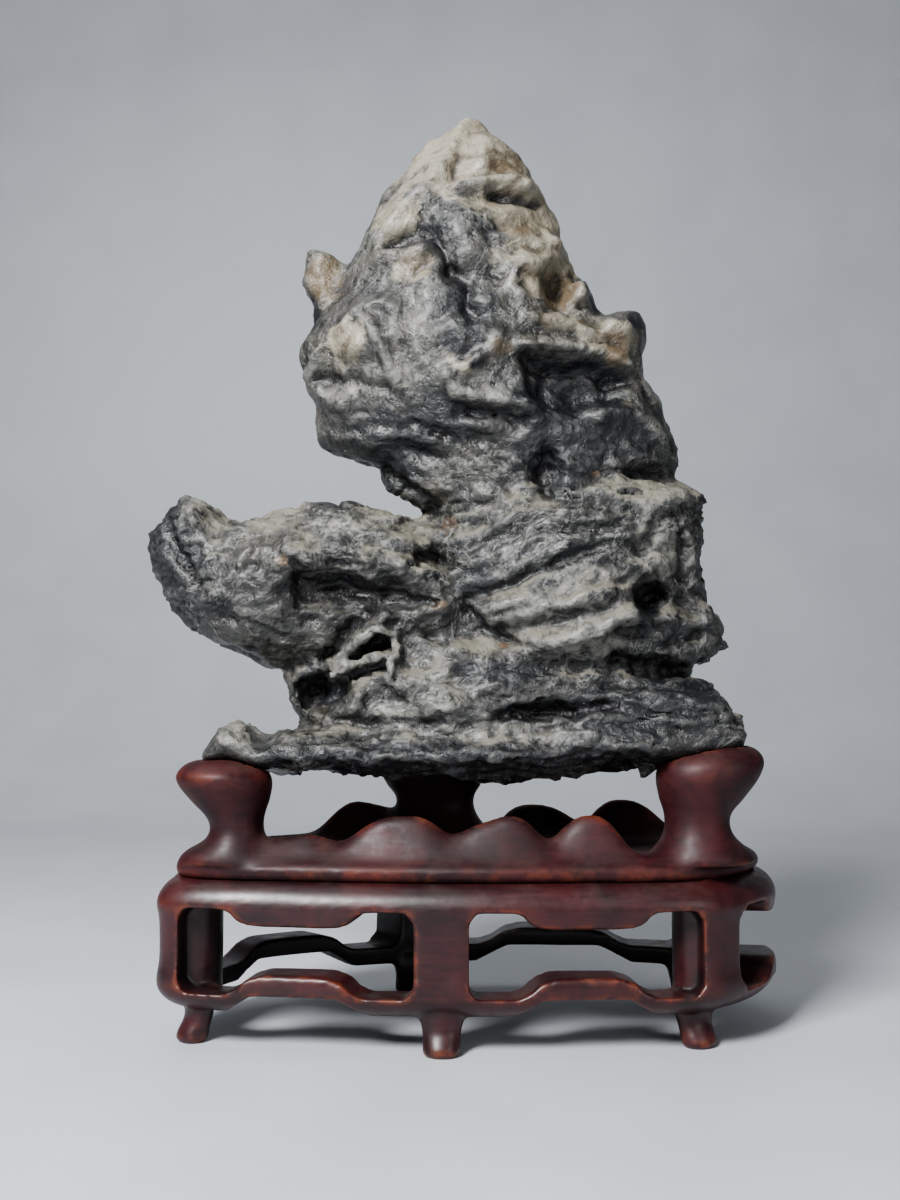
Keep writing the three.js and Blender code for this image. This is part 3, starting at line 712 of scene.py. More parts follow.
# the dark places on the face, partly painted shade, and random dark mottling on the far side
dark_and_shade = np.maximum(shown * spots(stone, DARK_AND_SHADE, 43), elsewhere * ramp(-mottle, 0.15, 0.6))
rust = shown * spots(stone, RUST, 44)
tan = shown * spots(stone, TAN, 45)
pale = np.maximum(pale, shown * on_rib)
dark_and_shade *= 1 - on_rib
# the middle grey, partly painted shade on the peak's left face
grey_and_shade = shown * spots(stone, GREY_AND_SHADE, 46)
dust = ramp(normal[:, 2] + 0.25 * ramp(stone[:, 2], 124, 134), 0.12, 0.8)
dust *= 1 - ramp(stone[:, 2], 138, 175)
dust *= ramp(mottle, -0.8, 0.2) * (1 - 0.8 * dark_and_shade) * (1 - 0.45 * grey_and_shade)
# painted shade: how deep each point lies in a recess, broad and fine, used to darken it
recess_shade = np.clip(-broad_relief / 1.2, 0, 1) + np.clip(-fine_relief / 0.5, 0, 0.5)
crest = np.clip(fine_relief / 0.35, 0, 1)
# the folds pressed into the face give the grooves that are darkened below as painted shade
folds, _ = fold_height(stone)
face_on = ramp(-normal[:, 1], -0.5, 0.2)
rock = finished("stone", stone + SHIFT, stone_quads, {
    "groove_shade": face_on * (1 - on_rib) * np.clip(-folds / 2.6, 0, 1),
    "ridge": face_on * np.clip(folds / 3.2, 0, 1),
    "cream": cream, "pale": pale, "dark_and_shade": dark_and_shade, "dust": dust, "rust": rust, "tan": tan, "grey_and_shade": grey_and_shade,
    "recess_shade": recess_shade, "crest": crest, "peak": peak,
})

# %% [markdown]
# ## Writing a finish
# A material is a small graph of nodes. A short helper puts down a node and wires it, so that each
# finish below reads as what it does: noise, a ramp, a mix.

# %% A small writer for materials


class Finish:
    """A material being written. Every method adds one node and gives back its output."""

    def __init__(self, name):
        self.material = bpy.data.materials.new(name)
        self.material.use_nodes = True
        self.tree = self.material.node_tree
        self.tree.nodes.clear()
        self.here = self.node("ShaderNodeTexCoord").outputs["Object"]

    def node(self, kind, **settings):
        made = self.tree.nodes.new(kind)
        for key, value in settings.items():
            setattr(made, key, value)
        return made

    def wire(self, socket, value):
        if isinstance(value, bpy.types.NodeSocket):
            self.tree.links.new(value, socket)
        else:
            socket.default_value = value

    def math(self, how, *values, clamp=False):
        made = self.node("ShaderNodeMath", operation=how, use_clamp=clamp)
        for socket, value in zip(made.inputs, values):
            self.wire(socket, value)
        return made.outputs[0]

    def attribute(self, name):
        return self.node("ShaderNodeAttribute", attribute_name=name).outputs["Fac"]

    def stretched(self, x, y, z, turn=0.0):
        """The object's own coordinates, times x, y and z, and turned about y."""
        made = self.node("ShaderNodeMapping")
        self.wire(made.inputs["Vector"], self.here)
        made.inputs["Scale"].default_value = (x, y, z)
        made.inputs["Rotation"].default_value = (0, turn, 0)
        return made.outputs[0]

    def noise(self, size, detail=5.0, rough=0.55, bend=0.0, at=None):
        """Noise whose blobs are about size millimetres across."""
        made = self.node("ShaderNodeTexNoise")
        self.wire(made.inputs["Vector"], at or self.here)
        made.inputs["Scale"].default_value = 1000 / size
        made.inputs["Detail"].default_value = detail
        made.inputs["Roughness"].default_value = rough
        made.inputs["Distortion"].default_value = bend
        return made.outputs["Fac"]

    def ridged(self, value):
        """Sharp ridges where a noise crosses one half: 1 - |2 value - 1|."""
        fold = self.math("ABSOLUTE", self.math("MULTIPLY_ADD", value, 2.0, -1.0))
        return self.math("SUBTRACT", 1.0, fold)

    def cells(self, size):
        """The distance to the nearest of scattered seeds about size millimetres apart."""
        made = self.node("ShaderNodeTexVoronoi")
        self.wire(made.inputs["Vector"], self.here)
        made.inputs["Scale"].default_value = 1000 / size
        return made.outputs["Distance"]

    def ramp(self, value, low, high, start=0.0, end=1.0):
        """start below low, end above high, smooth between."""
        made = self.node("ShaderNodeMapRange", interpolation_type="SMOOTHSTEP")
        for socket, given in zip(made.inputs, (value, low, high, start, end)):
            self.wire(socket, given)
        return made.outputs[0]

    def mix(self, share, first, second):
        """The first colour, with a share of the second over it."""
        made = self.node("ShaderNodeMix", data_type="RGBA")
        made.clamp_result = True
        for name, given in (("Factor_Float", share), ("A_Color", first), ("B_Color", second)):
            socket = next(s for s in made.inputs if s.identifier == name)
            if isinstance(given, tuple):
                given = (*given, 1.0)
            self.wire(socket, given)
        return next(s for s in made.outputs if s.identifier == "Result_Color")

    def bump(self, height, strength, distance, under=None):
        made = self.node("ShaderNodeBump")
        self.wire(made.inputs["Height"], height)
        made.inputs["Strength"].default_value = strength
        made.inputs["Distance"].default_value = distance * MM
        if under is not None:
            self.wire(made.inputs["Normal"], under)
        return made.outputs[0]

    def done(self, colour, roughness, normal, constants):
        shader = self.node("ShaderNodeBsdfPrincipled")
        self.wire(shader.inputs["Base Color"], colour)
        self.wire(shader.inputs["Roughness"], roughness)
        self.wire(shader.inputs["Normal"], normal)
        for key, value in constants.items():
            shader.inputs[key].default_value = value
        out = self.node("ShaderNodeOutputMaterial")
        self.tree.links.new(shader.outputs[0], out.inputs["Surface"])
        return self.material


# %% [markdown]
# ## The stone's finish
# Limestone like this is handled and lightly waxed: dark slate clouded with grey and white, glossy
# where it is smooth, with a glitter of small facets lower down, and white flecks that are partly
# crystals and partly painted glints. The clouds are noise at three sizes, the beds are noise
# squeezed in height, and each placed colour is broken up by more noise so that it has a ragged
# edge. Recesses, grooves and many of the dark places are painted nearly black as shade.

# %% Stone material
look = Finish("weathered limestone")
is_peak = look.attribute("peak")
not_peak = look.math("SUBTRACT", 1.0, is_peak)
clouds = look.noise(26, 6, 0.6, 0.6)
coarse = look.noise(9, 7, 0.6, 0.9)
middle = look.noise(3.4, 6, 0.6, 0.5)
fine = look.noise(1.2, 4, 0.55)
streaks = look.noise(3.2, 6, 0.6, 0.4, look.stretched(0.16, 0.2, 1.0, 0.13))
height = look.math("MULTIPLY_ADD", coarse, 0.5, look.math("MULTIPLY", middle, 0.36))
height = look.math("MULTIPLY_ADD", fine, 0.14, height)
bedded_part = look.math("MULTIPLY", not_peak, 0.22)
height = look.math("MULTIPLY_ADD", look.math("SUBTRACT", streaks, 0.5), bedded_part, height)
light_grey = look.mix(is_peak, (0.033, 0.033, 0.031), (0.088, 0.086, 0.077))
colour = look.mix(look.ramp(height, 0.37, 0.57), (0.008, 0.0085, 0.0095), light_grey)
colour = look.mix(look.ramp(height, 0.57, 0.70, 0, 0.45), colour, (0.14, 0.137, 0.122))
olive = look.ramp(look.noise(31, 4, 0.55), 0.48, 0.62, 0, 0.35)
colour = look.mix(olive, colour, (0.075, 0.068, 0.048))
colour = look.mix(look.ramp(clouds, 0.56, 0.40, 0, 0.65), colour, (0.010, 0.011, 0.014))
lines = look.math("ABSOLUTE", look.math("SUBTRACT", look.noise(11, 6, 0.6, 1.2), 0.5))
colour = look.mix(look.ramp(lines, 0.0, 0.014, 0.8, 0), colour, (0.005, 0.005, 0.006))
veins = look.math("ABSOLUTE", look.math("SUBTRACT", look.noise(17, 7, 0.6, 1.5), 0.52))
colour = look.mix(look.ramp(veins, 0.0, 0.018, 0.4, 0), colour, (0.30, 0.30, 0.28))
broken = look.math("MULTIPLY_ADD", height, 2.2, -0.45)


def laid(colour, name, low, high, new):
    """A placed colour over another, its edge broken by noise."""
    share = look.math("ADD", look.attribute(name), look.math("SUBTRACT", broken, 0.65))
    return look.mix(look.ramp(share, low, high), colour, new)


# a darker grey, partly painted shade on the peak's left face
grey_and_shade_tone = look.mix(look.ramp(middle, 0.40, 0.60), (0.015, 0.0155, 0.016), (0.045, 0.044, 0.041))
colour = laid(colour, "grey_and_shade", 0.3, 1.0, grey_and_shade_tone)
pale_tone = look.mix(look.ramp(middle, 0.38, 0.62), (0.060, 0.060, 0.055), (0.185, 0.180, 0.160))
colour = laid(colour, "pale", 0.45, 1.0, pale_tone)
cream_tone = look.mix(look.ramp(coarse, 0.34, 0.52), (0.085, 0.068, 0.046), (0.212, 0.190, 0.143))
colour = laid(colour, "cream", 0.35, 0.85, cream_tone)
ridge = look.math("MULTIPLY", look.attribute("ridge"), look.ramp(broken, 0.5, 0.85))
colour = look.mix(look.math("MULTIPLY", ridge, 0.75), colour, (0.23, 0.225, 0.205))
colour = laid(colour, "tan", 0.3, 1.0, (0.112, 0.085, 0.054))
# dark stone and painted shade in holes and under ledges, laid nearly black
colour = laid(colour, "dark_and_shade", 0.3, 0.8, (0.009, 0.010, 0.012))
colour = laid(colour, "dust", 0.35, 1.1, (0.160, 0.152, 0.122))
colour = laid(colour, "rust", 0.5, 1.1, (0.110, 0.070, 0.042))
colour = look.mix(look.math("MULTIPLY", look.attribute("crest"), 0.22), colour, (0.18, 0.178, 0.165))
# painted shade: recesses darkened nearly to black
colour = look.mix(look.ramp(look.attribute("recess_shade"), 0.1, 1.1, 0, 0.65), colour, (0.006, 0.006, 0.007))
# painted shade: grooves darkened nearly to black
colour = look.mix(look.math("MULTIPLY", look.attribute("groove_shade"), 0.85), colour, (0.005, 0.005, 0.006))
# white flecks: partly the stone's own crystals, partly painted glints
fleck_and_glint = look.ramp(look.noise(0.9, 3, 0.6), 0.62, 0.74)
fleck_and_glint_share = look.math("MULTIPLY", fleck_and_glint, look.ramp(middle, 0.46, 0.62, 0, 0.5))
colour = look.mix(fleck_and_glint_share, colour, (0.34, 0.34, 0.32))
shine = look.ramp(look.math("ADD", fine, look.math("MULTIPLY", middle, 0.6)), 0.6, 1.0, 0.24, 0.50)
shine = look.math("MULTIPLY_ADD", look.attribute("dust"), 0.25, shine, clamp=True)
chips = look.math("MULTIPLY_ADD", look.ridged(coarse), 0.6, look.math("MULTIPLY", look.ridged(middle), 0.4))
chips = look.math("MULTIPLY_ADD", look.ridged(streaks), look.math("MULTIPLY", not_peak, 0.12), chips)
skin = look.bump(chips, 0.75, 1.5)
skin = look.bump(look.cells(2.4), 0.45, 0.6, skin)
skin = look.bump(look.cells(1.2), 0.3, 0.25, skin)
skin = look.bump(look.noise(0.8, 2, 0.5), 0.35, 0.13, skin)
stone_finish = look.done(colour, shine, skin, {"IOR": 1.5, "Coat Weight": 0.1, "Coat Roughness": 0.22})
rock.data.materials.append(stone_finish)
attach(rock, "root")
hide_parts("rock")
print("stone's finish has", len(look.tree.nodes), "nodes")

# %% [markdown]
# ## The stand's plan
# Seen from above the stand is a lopsided oval with five soft corners, a leg at each. One closed
# curve gives it; every ring of the frame and of the board is that curve drawn in towards the
# middle by some inset.

# %% Plan of the stand
# The outline at the face of the legs, legs and mid-sides taking turns from the front left leg.
PLAN = [
    [-73, -24], [-38, -33.5], [-2.2, -37], [31, -36], [67, -31],
    [87, -2], [74, 32], [32, 39.5], [-13, 37], [-62, 14],
]
PLAN_HALF = np.array([74, 38.5])  # half the plan's width and depth
PLAN_MIDDLE = np.array([5.5, 1.0])
# Each leg: its reach back towards the leg before and on towards the next, and its foot's tuck.
LEGS = [(20, 5.8, 4), (6.8, 6.8, 0), (4.8, 5.2, 3.5), (6.5, 6, 3), (6.5, 8.5, 2)]
FOOT_H = 9.2  # floor to the underside of the base rail
RAIL_TOP = 14.0  # top of the base rail beside a leg
CLOUD_RISE = 4.9  # how far the middle of a base rail steps up
WINDOW_TOP = 34.7  # top of a window beside a leg
APRON_DROP = 4.2  # how far the middle of an apron hangs below that
WALL = 11.0  # thickness of the pierced wall
EDGE_ROUNDING = 4  # smoothing passes that round a carving's edges
FRAME_TOP = 41.4  # where the board sits
DISH, LOW_RIM = 45.0, 48.0  # the board's dish, and its rim between the crests


def plan_points(u, inset):
    """The closed cubic through PLAN at u, drawn in: middle + (point - middle) (1 - inset / half)."""
    p = spline(PLAN, u, closed=True)
    return PLAN_MIDDLE + (p - PLAN_MIDDLE) * (1 - np.asarray(inset).reshape(-1, 1) / PLAN_HALF)


def ring_body(sections):
    """A ring swept round the plan: sections[i] is the closed section [inset, height] at step i."""
    steps, across = sections.shape[:2]
    u = np.repeat(np.arange(steps) / steps, across)
    flat = plan_points(u, sections[:, :, 0].ravel())
    points = np.column_stack([flat, sections[:, :, 1].ravel()])
    return points, grid_faces(steps, across, wrap_rows=True)[:, ::-1]


traced = plan_points(np.linspace(0, 1, 200), 0)
print("plan's width and depth, mm:", np.ptp(traced, axis=0).round(1))


def softened(points):
    """Corners cut off: every corner becomes two points, a quarter of the way along each side."""
    points = np.asarray(points, float)
    after = np.roll(points, -1, axis=0)
    return np.stack([0.75 * points + 0.25 * after, 0.25 * points + 0.75 * after], 1).reshape(-1, 2)


# %% [markdown]
# ## The pierced frame
# One carving: a wall that goes round, sawn through with a cloud-headed window in each of its five
# sides, a step under each base rail, and a foot under each leg. A maker saws it and rounds the
# edges over; so here the ring is swept, the windows are cut by a boolean, the feet are lofted, and
# the whole is fused and smoothed, which rounds every edge as a rasp and sandpaper do.

# %% Frame: ring, windows, feet
# The wall's section: [inset, height], from the middle of its outer face, up and round.
FRAME_SECTION = [
    [0, 26], [-0.2, 31.6], [-0.9, 34.6], [-0.4, 37], [0.9, 39.2], [2.8, 40.7], [5.0, 41.3],
    [6.5, FRAME_TOP], [WALL, FRAME_TOP], [WALL, 9], [5.4, 8.6], [1.8, 10.4], [-0.6, 13.6],
    [-0.6, 16.8], [0, 20],
]
FRAME_STEPS = 300  # round the plan
section = softened(FRAME_SECTION)
ring, ring_quads = ring_body(np.broadcast_to(section, (FRAME_STEPS, *section.shape)))
frame_body = as_object("ring", ring, ring_quads)


def window_outline(width):
    """A window on a wall of that width: a step up in the middle below, a drop in the middle above."""
    ends, slope = 0.225 * width, 0.1 * width
    low, high = RAIL_TOP, WINDOW_TOP
    points = [
        [0, low], [0.6 * ends, low], [ends, low], [ends + slope, low + CLOUD_RISE],
        [width / 2, low + CLOUD_RISE], [width - ends - slope, low + CLOUD_RISE],
        [width - ends, low], [width - 0.6 * ends, low], [width, low],
        [width, (low + high) / 2], [width, high], [width - 0.6 * ends, high], [width - ends, high - 0.2],
        [width - ends - 0.3 * slope, high - 0.7 * APRON_DROP], [width - ends - slope, high - APRON_DROP],
        [width / 2, high - APRON_DROP], [ends + slope, high - APRON_DROP],
        [ends + 0.3 * slope, high - 0.7 * APRON_DROP], [ends, high - 0.2], [0.6 * ends, high], [0, high],
        [0, (low + high) / 2],
    ]
    return softened(points)


def step_outline(width):
    """The step under the middle of a base rail."""
    ends, slope = 0.2 * width, 0.12 * width
    high = FOOT_H + CLOUD_RISE - 0.4
    return np.array([
        [ends - slope / 2, -1], [width - ends + slope / 2, -1], [width - ends, FOOT_H],
        [width - ends - slope, high], [width / 2, high], [ends + slope, high], [ends, FOOT_H],
    ])


def saw_cut(n, outline):
    """A prism: the outline drawn on the wall from leg n to the next, pushed in and out through it."""
    ends = plan_points(np.array([2 * n, 2 * n + 2]) / len(PLAN) % 1, [0, 0])
    run = ends[1] - ends[0]
    start, width = LEGS[n][1], np.linalg.norm(run) - LEGS[n][1] - LEGS[(n + 1) % 5][0]
    run = run / np.linalg.norm(run)
    inward = np.array([-run[1], run[0]])
    drawn = outline(width)
    layers = []
    for depth in (WALL + 1.0, -40.0):
        flat = ends[0] + (start + drawn[:, :1]) * run + depth * inward
        layers.append(np.column_stack([flat, drawn[:, 1]]))
    count = len(drawn)
    caps = [list(range(count)), list(range(2 * count - 1, count - 1, -1))]
    return as_object("saw cut", np.concatenate(layers), grid_faces(2, count)[:, ::-1], caps)


def feet_bodies():
    """Five feet, each lofted through [height, along low, along high, in, out], and turned so that
    its toe points out of its leg."""
    stations = [
        [12, -4.4, 4.4, 2.5, 7.5], [11.6, -5.4, 5.4, 2, 8.6],
        [8.8, -5.6, 5.6, 1.8, 9], [5.8, -4.9, 4.9, 1.7, 8.6],
        [3, -4.7, 4.7, 0.2, 7.9], [1.1, -4.7, 4.7, -0.6, 7.6], [0, -4.1, 4.1, 0.2, 6.8],
    ]
    bodies = []
    for n, (_, _, tuck) in enumerate(LEGS):
        u = 2 * n / len(PLAN)
        at = plan_points([u % 1], [tuck])[0]
        along = np.diff(plan_points(np.array([u - 1e-3, u + 1e-3]) % 1, [tuck, tuck]), axis=0)[0]
        turn = math.atan2(along[1], along[0])
        body, quads, caps = loft(stations, around=40, rows=40)
        across = np.array([[math.cos(turn), -math.sin(turn)], [math.sin(turn), math.cos(turn)]])
        body = np.column_stack([body[:, :2] @ across.T + at, body[:, 2]])
        bodies.append((body, quads, caps))
    return bodies


cuts = [saw_cut(n, outline) for n in range(5) for outline in (window_outline, step_outline)]
for cut in cuts:
    saw = frame_body.modifiers.new("saw", "BOOLEAN")
    saw.operation = "DIFFERENCE"
    saw.solver = "EXACT"
    saw.object = cut
seen = frame_body.evaluated_get(bpy.context.evaluated_depsgraph_get())
# The front corner legs' thicker inner side, upright.
INNER_POSTS = [
    [
        [41.2, 57.5, 66, -28, -18], [39, 56.4, 67, -28.6, -17],
        [12, 56.4, 67, -28.6, -17], [10, 57.5, 66, -28, -18],
    ],
    [
        [41.2, -70, -60, -22, -10], [39, -71, -59, -22.6, -8],
        [12, -71, -59, -22.6, -8], [10, -70, -60, -22, -10],
    ],
]
feet = gathered("feet", feet_bodies() + [loft(post) for post in INNER_POSTS])
both = bmesh.new()
both.from_mesh(bpy.data.meshes.new_from_object(seen))
both.from_mesh(feet.data)
both.to_mesh(feet.data)
for made in [frame_body, *cuts]:
    bpy.data.objects.remove(made)
frame_points, frame_quads = fused(feet, WOOD_SKIN)
frame_points = smoothed(frame_points, frame_quads, EDGE_ROUNDING)
print("frame:", len(frame_points), "points")

# %% [markdown]
# ## The carved board
# The second carving: a shallow dish whose rim rises in cloud crests, and three rests that the
# stone stands on. The rim is one skin over two parameters, the way round and the way across, its
# height at each step set by the crests nearby. The rests are lofted, as the stone's masses are,
# and fused on, and the joints are smoothed into the sweep that a carver leaves.

# %% Board: dish, crests, rests
# Crests: x, y, height over the low rim, half width. The right flank is the steeper one.
CRESTS = [
    [-13, -26, 8.8, 12], [15.5, -28, 9.4, 10], [36, -27, 9.6, 9.5], [-25, 22, 8.8, 13], [24, 28, 7, 12],
    [50, 27, 8.6, 11], [1, -29, 4.5, 9], [-39, -22, 4.4, 13],
]
JOINT_SWEEP = 60  # smoothing passes that sweep a rest into the board
STEEP, GENTLE = 1.15, 0.88  # how a crest's two flanks are squeezed and drawn out
BOARD_STEPS, SECTION_STEPS = 420, 110  # round the plan, and across the rim
# The rests, upright: left, right and back.
RESTS = [
    [[71.2, -60, -58, -19, -17], [70.4, -67, -51, -25, -11], [67.8, -70.4, -47.2, -29, -8],
     [64.8, -70.4, -46, -29.5, -7.5], [60, -66.6, -46.8, -27.5, -9], [54.5, -61.8, -48.2, -26, -10.5],
     [50.5, -63, -47.6, -27, -9], [47.3, -69.5, -44.5, -28.5, -7], [45, -69.5, -44.5, -28.5, -7],
     [43.5, -58, -56, -18, -16]],
    [[75, 69, 71, -20, -18], [74.2, 62, 78, -26, -12], [71, 55, 81, -30, -8.5], [66.5, 53.2, 79.6, -31, -8],
     [61, 54, 75.6, -29, -9.5], [56, 55.4, 71.8, -27.5, -10.5], [51, 54.6, 73.5, -29, -9],
     [47.3, 51.5, 78.5, -31, -7], [45, 51.5, 78.5, -31, -7], [43.5, 64, 66, -19, -17]],
    [[69.5, -6, -4, 21, 23], [68.6, -16, 6, 15, 29], [65.5, -20, 10.4, 11, 32], [61.5, -18.4, 9, 12.5, 31],
     [57, -15.4, 6.8, 14, 29], [52, -17, 8.5, 12.5, 30.5], [48, -21, 12, 10, 32], [45, -21, 12, 10, 32],
     [43.5, -6, -4, 20, 22]],
]


def crest_height(flat):
    """Rim height: the low rim plus, for each crest, h exp(-d^2/2 - 0.8 d^4), d in half widths."""
    lift = 0
    for x, y, high, wide in CRESTS:
        dx = flat[:, 0] - x
        dx = dx * np.where(dx * -np.sign(y) > 0, STEEP, GENTLE)
        d2 = (dx**2 + (flat[:, 1] - y) ** 2) / wide**2
        lift = lift + high * np.exp(-0.5 * d2 - 0.8 * d2 * d2)
    return LOW_RIM + lift


def board_sections(steps):
    """For each step round the plan, the skin's section from deep in the dish out over the rim,
    round the bead and back under: a cubic through these [inset, height] knots. The innermost
    knots, at an inset of 36, don't meet, as the plan is wider than it is deep. They leave a slot
    some 80 by 5 mm right through the board's middle: a known fault, as a real board is whole."""
    u = np.arange(steps) / steps
    top = crest_height(plan_points(u, np.full(steps, 12.0)))
    one = np.ones(steps)
    knots = [
        [36 * one, DISH * one], [27 * one, DISH * one], [19 * one, DISH + 0.04 * (top - DISH)],
        [15.2 * one, DISH + 0.45 * (top - DISH)], [13 * one, top - 0.5], [11.4 * one, top],
        [9.8 * one, top - 0.9 - 0.08 * (top - LOW_RIM)], [8.2 * one, 47.2 + 0.42 * (top - 47.2)],
        [6.6 * one, 46.6 + 0.12 * (top - 46.6)], [5.2 * one, 45.9 * one], [4.1 * one, 45.2 * one],
        [3.4 * one, 44.1 * one], [3.3 * one, 42.9 * one], [4.2 * one, 41.5 * one], [6.0 * one, 41.1 * one],
        [9.5 * one, FRAME_TOP * one], [36 * one, FRAME_TOP * one],
    ]
    flat = np.transpose(np.array(knots), (0, 2, 1)).reshape(len(knots), -1)
    dense = spline(flat, np.linspace(0, 1, SECTION_STEPS))
    return dense.reshape(SECTION_STEPS, steps, 2).transpose(1, 0, 2)


board_ring, board_ring_quads = ring_body(board_sections(BOARD_STEPS))
board_bodies = [(board_ring, board_ring_quads, [])]
board_bodies += [loft(rest) for rest in RESTS]
board, board_quads = fused(gathered("board", board_bodies), WOOD_SKIN)
by_rest = np.min([np.hypot(board[:, 0] - x, (board[:, 1] - y) * 1.2) for x, y in SEATS], axis=0)
joint = ramp(board[:, 2], 44.5, 46.5) * (1 - ramp(board[:, 2], 55, 61)) * (1 - ramp(by_rest, 17, 24))
board = smoothed(board, board_quads, EDGE_ROUNDING)
board = smoothed(board, board_quads, JOINT_SWEEP, 0.6 * joint)
print("board:", len(board), "points")

# %% [markdown]
# ## Seating the stone
# The maker scoops each rest to the stone's own underside. So the stone's underside is read off as
# a height over each small square of the plan, and whatever part of a rest stands higher is pressed
# down to just below it.

# %% Rests scooped to the stone
SQUARE = 1.2  # side of one square of the plan, in millimetres
GRID = 160
CLEAR = 0.3


def underside():
    """The stone's lowest height over each square, with empty squares left very high."""
    low = np.full((GRID, GRID), 1e3)
    place = np.floor(stone[:, :2] / SQUARE).astype(int) + GRID // 2
    np.minimum.at(low, (place[:, 0], place[:, 1]), stone[:, 2])
    return low


under = underside()
place = np.floor(board[:, :2] / SQUARE).astype(int) + GRID // 2
ceiling = under[place[:, 0], place[:, 1]] - CLEAR
sunk = np.maximum(board[:, 2] - ceiling, 0) * (board[:, 2] > 58)
board[:, 2] -= sunk
print("deepest scoop, mm:", round(float(sunk.max()), 2))

# %% [markdown]
# ## The stand's finish
# Blackwood under a thin red-brown lacquer, rubbed for years: orange where edges have worn through,
# grey with dust in the corners that face up. Its hollows and creases, and the faces that look into
# the frame, are painted nearly black as shade. Wear, dust and the painted shade in creases are read
# from the shape, as the height of each point over its smoothed surroundings, and the painted shade
# inside the frame from which way a face looks. The frame has kept more of its polish than the board,
# so one recipe is written twice with its own gloss.

# %% Wood attributes


def wood_attributes(p, quads):
    """edge: stands out of its near surroundings; crease: lies below them, for painted shade in creases;
    dust: faces up, most where the surface sinks; high: stands out of its wide surroundings; inner:
    faces the middle of the frame, for painted shade inside it."""
    normal = normals_of(p, quads)
    fine = relief_of(p, quads, 6)
    broad = relief_of(p, quads, 45)
    edge = ramp(fine, 0.03, 0.16)
    # painted shade: how far a point lies below its wide and near surroundings
    crease_shade = ramp(-broad, 0.12, 0.9) + 0.5 * ramp(-fine, 0.03, 0.14)
    patchy = ramp(layered_noise(p, 11, 4, 61), -0.35, 0.55)
    dust = ramp(normal[:, 2], 0.45, 0.9) * patchy * (0.3 + 0.7 * ramp(-broad, -0.1, 0.5))
    inward = PLAN_MIDDLE - p[:, :2]
    inward /= np.maximum(np.linalg.norm(inward / PLAN_HALF, axis=1)[:, None] * PLAN_HALF**2, 1e-6)
    inward /= np.linalg.norm(inward, axis=1)[:, None]
    # painted shade: faces that look into the frame, darkened as if in its shadow
    inner_shade = ramp((normal[:, :2] * inward).sum(axis=1), 0.05, 0.6) * (1 - ramp(p[:, 2], 41, 44))
    return {"edge": edge, "crease_shade": crease_shade, "dust": dust, "high": ramp(broad, 0.15, 1.0), "inner_shade": inner_shade}


board_marks = wood_attributes(board, board_quads)
frame_marks = wood_attributes(frame_points, frame_quads)
stand_top = finished("carved_board", board + SHIFT, board_quads, board_marks)
stand_frame = finished("pierced_frame", frame_points + SHIFT, frame_quads, frame_marks)

# %% Wood material


def hardwood(name, satin, dull, polish):
    """Lacquered hardwood: roughness between satin and dull, polish the strength of its clear coat."""
    look = Finish(name)
    along_grain = look.stretched(0.09, 0.5, 1.0)
    grain = look.noise(1.5, 6, 0.6, 0.6, along_grain)
    pores = look.noise(0.55, 3, 0.5, 0.0, look.stretched(0.07, 0.5, 1.0))
    patches = look.noise(17, 6, 0.6, 0.5)
    blotch = look.noise(4.5, 7, 0.65)
    tone = look.math("MULTIPLY_ADD", patches, 1.0, look.math("MULTIPLY", grain, 0.35))
    colour = look.mix(look.ramp(tone, 0.48, 0.88), (0.014, 0.0039, 0.0052), (0.044, 0.0086, 0.0104))
    colour = look.mix(look.ramp(pores, 0.58, 0.72, 0, 0.4), colour, (0.010, 0.003, 0.003))
    worn = look.math("MULTIPLY", look.attribute("edge"), look.ramp(blotch, 0.42, 0.62))
    colour = look.mix(look.math("MULTIPLY", worn, 0.6), colour, (0.15, 0.036, 0.013))
    uneven_wear = look.ramp(look.math("MULTIPLY", blotch, patches), 0.22, 0.36)
    rubbed = look.math("MULTIPLY", look.attribute("high"), uneven_wear)
    colour = look.mix(look.math("MULTIPLY", rubbed, 0.5), colour, (0.11, 0.020, 0.009))
    # painted shade: creases and hollows darkened nearly to black
    colour = look.mix(look.ramp(look.attribute("crease_shade"), 0.1, 1.2, 0, 0.8), colour, (0.006, 0.003, 0.0035))
    # painted shade: faces inside the frame darkened nearly to black
    colour = look.mix(look.math("MULTIPLY", look.attribute("inner_shade"), 0.85), colour, (0.004, 0.003, 0.0035))
    dusty = look.math("MULTIPLY", look.attribute("dust"), look.ramp(blotch, 0.35, 0.65, 0.3, 1.0))
    colour = look.mix(look.math("MULTIPLY", dusty, 0.45), colour, (0.10, 0.080, 0.058))
    uneven = look.math("ADD", blotch, look.math("MULTIPLY", grain, 0.5))
    shine = look.ramp(uneven, 0.5, 1.0, satin, dull)
    shine = look.math("MULTIPLY_ADD", dusty, 0.35, shine, clamp=True)
    skin = look.bump(grain, 0.18, 0.15)
    skin = look.bump(look.noise(11, 3, 0.5), 0.22, 0.9, skin)
    skin = look.bump(look.noise(0.45, 3, 0.6), 0.12, 0.08, skin)
    return look.done(colour, shine, skin, {
        "IOR": 1.48, "Specular IOR Level": 0.3 + polish, "Coat Weight": polish, "Coat Roughness": 0.26,
    })


for piece, node, name, finish in (
    (stand_top, "stand_top", "top_wood", hardwood("duller hardwood", 0.46, 0.62, 0.03)),
    (stand_frame, "stand_frame", "frame_wood", hardwood("glossier hardwood", 0.36, 0.52, 0.16)),
):
    piece.data.materials.append(finish)
    print(finish.name, "has", len(finish.node_tree.nodes), "nodes")
    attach(piece, "root")
    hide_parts(node)

# %% [markdown]
# ## Where it stands
# A pale sweep of card runs back and curves up behind. It could be a flat floor and a wall; one
# curved sheet is chosen because it shows no line where they meet.

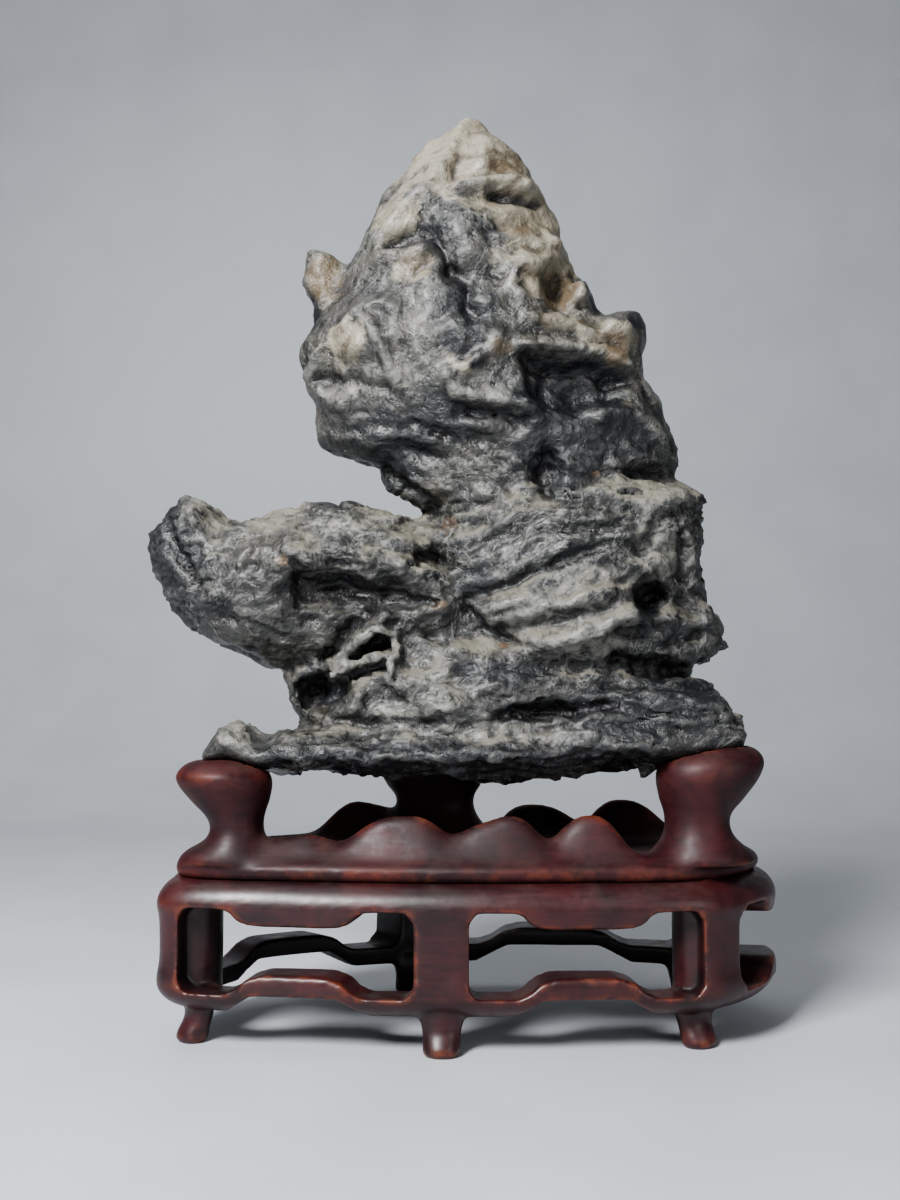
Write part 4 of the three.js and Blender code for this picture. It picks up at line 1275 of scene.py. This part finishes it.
# %% Sweep
SWEEP_REACH, SWEEP_BEND, SWEEP_TOP = 420.0, 320.0, 1500.0
bend = np.linspace(0, np.pi / 2, 24)
profile = np.concatenate([
    [[-1400.0, 0.0]], [[-400.0, 0.0]], [[0.0, 0.0]],
    np.column_stack([SWEEP_REACH + SWEEP_BEND * np.sin(bend), SWEEP_BEND * (1 - np.cos(bend))]),
    [[SWEEP_REACH + SWEEP_BEND, SWEEP_TOP]],
])
across = np.array([-1800.0, -600.0, 600.0, 1800.0])
sweep_points = np.stack([
    np.broadcast_to(across[None, :], (len(profile), 4)),
    np.broadcast_to(profile[:, :1], (len(profile), 4)),
    np.broadcast_to(profile[:, 1:], (len(profile), 4)),
], -1).reshape(-1, 3)
r, c = np.arange(len(profile) - 1)[:, None] * 4, np.arange(3)[None, :]
sweep_quads = np.stack([r + c, r + c + 1, r + c + 5, r + c + 4], -1).reshape(-1, 4)
sweep = finished("sweep", sweep_points, sweep_quads, {})
look = Finish("pale card")
tone = look.noise(60, 5, 0.5)
colour = look.mix(look.ramp(tone, 0.3, 0.7), (0.455, 0.475, 0.505), (0.485, 0.505, 0.535))
shine = look.ramp(tone, 0.3, 0.7, 0.5, 0.6)
sweep.data.materials.append(look.done(colour, shine, look.bump(look.noise(2, 4), 0.1, 0.1), {}))

# %% [markdown]
# ## Light and view
# One large soft panel to the left and in front gives the shapes and throws the shadow to the
# right. A weak one from above and a weak one from the right keep the hollows from going black,
# as the pale walls of a room do. The view is level with the foot of the stone, a little tilted up.

# %% Lights


def panel(name, place, aim, size, watts):
    """A square soft light at place, turned to face aim, both in millimetres."""
    light = bpy.data.lights.new(name, "AREA")
    light.shape = "SQUARE"
    light.size = size * MM
    light.energy = watts
    made = bpy.data.objects.new(name, light)
    made.location = Vector(place) * MM
    made.rotation_euler = (Vector(aim) - Vector(place)).to_track_quat("-Z", "Y").to_euler()
    bpy.context.scene.collection.objects.link(made)
    print(name, "panel,", size, "mm across,", watts, "W")


panel("key", (-320, -520, 540), (0, 0, 100), 230, 13.0)
panel("top", (-150, 150, 800), (0, 0, 60), 500, 1.6)
panel("fill", (430, -520, 260), (20, 0, 110), 320, 1.0)
world = bpy.data.worlds.new("soft room")
world.use_nodes = True
world.node_tree.nodes["Background"].inputs["Color"].default_value = (0.88, 0.94, 1.0, 1)
world.node_tree.nodes["Background"].inputs["Strength"].default_value = 0.10
bpy.context.scene.world = world

# %% Camera
EYE = (-2.5, -346.9, 90.0)
PITCH = 3.9  # degrees above level
LENS, FILM = 37.59, 36.0  # focal length and width of film, in millimetres
lens = bpy.data.cameras.new("camera")
lens.lens = LENS
lens.sensor_width = FILM
lens.clip_start = 0.01
camera = bpy.data.objects.new("camera", lens)
camera.location = Vector(EYE) * MM
camera.rotation_euler = (math.radians(90 + PITCH), 0, 0)
bpy.context.scene.collection.objects.link(camera)
bpy.context.scene.camera = camera
bpy.context.scene.view_settings.look = "AgX - Medium High Contrast"
print("camera at", EYE, "mm, tilted up", PITCH, "degrees, lens", LENS, "mm")
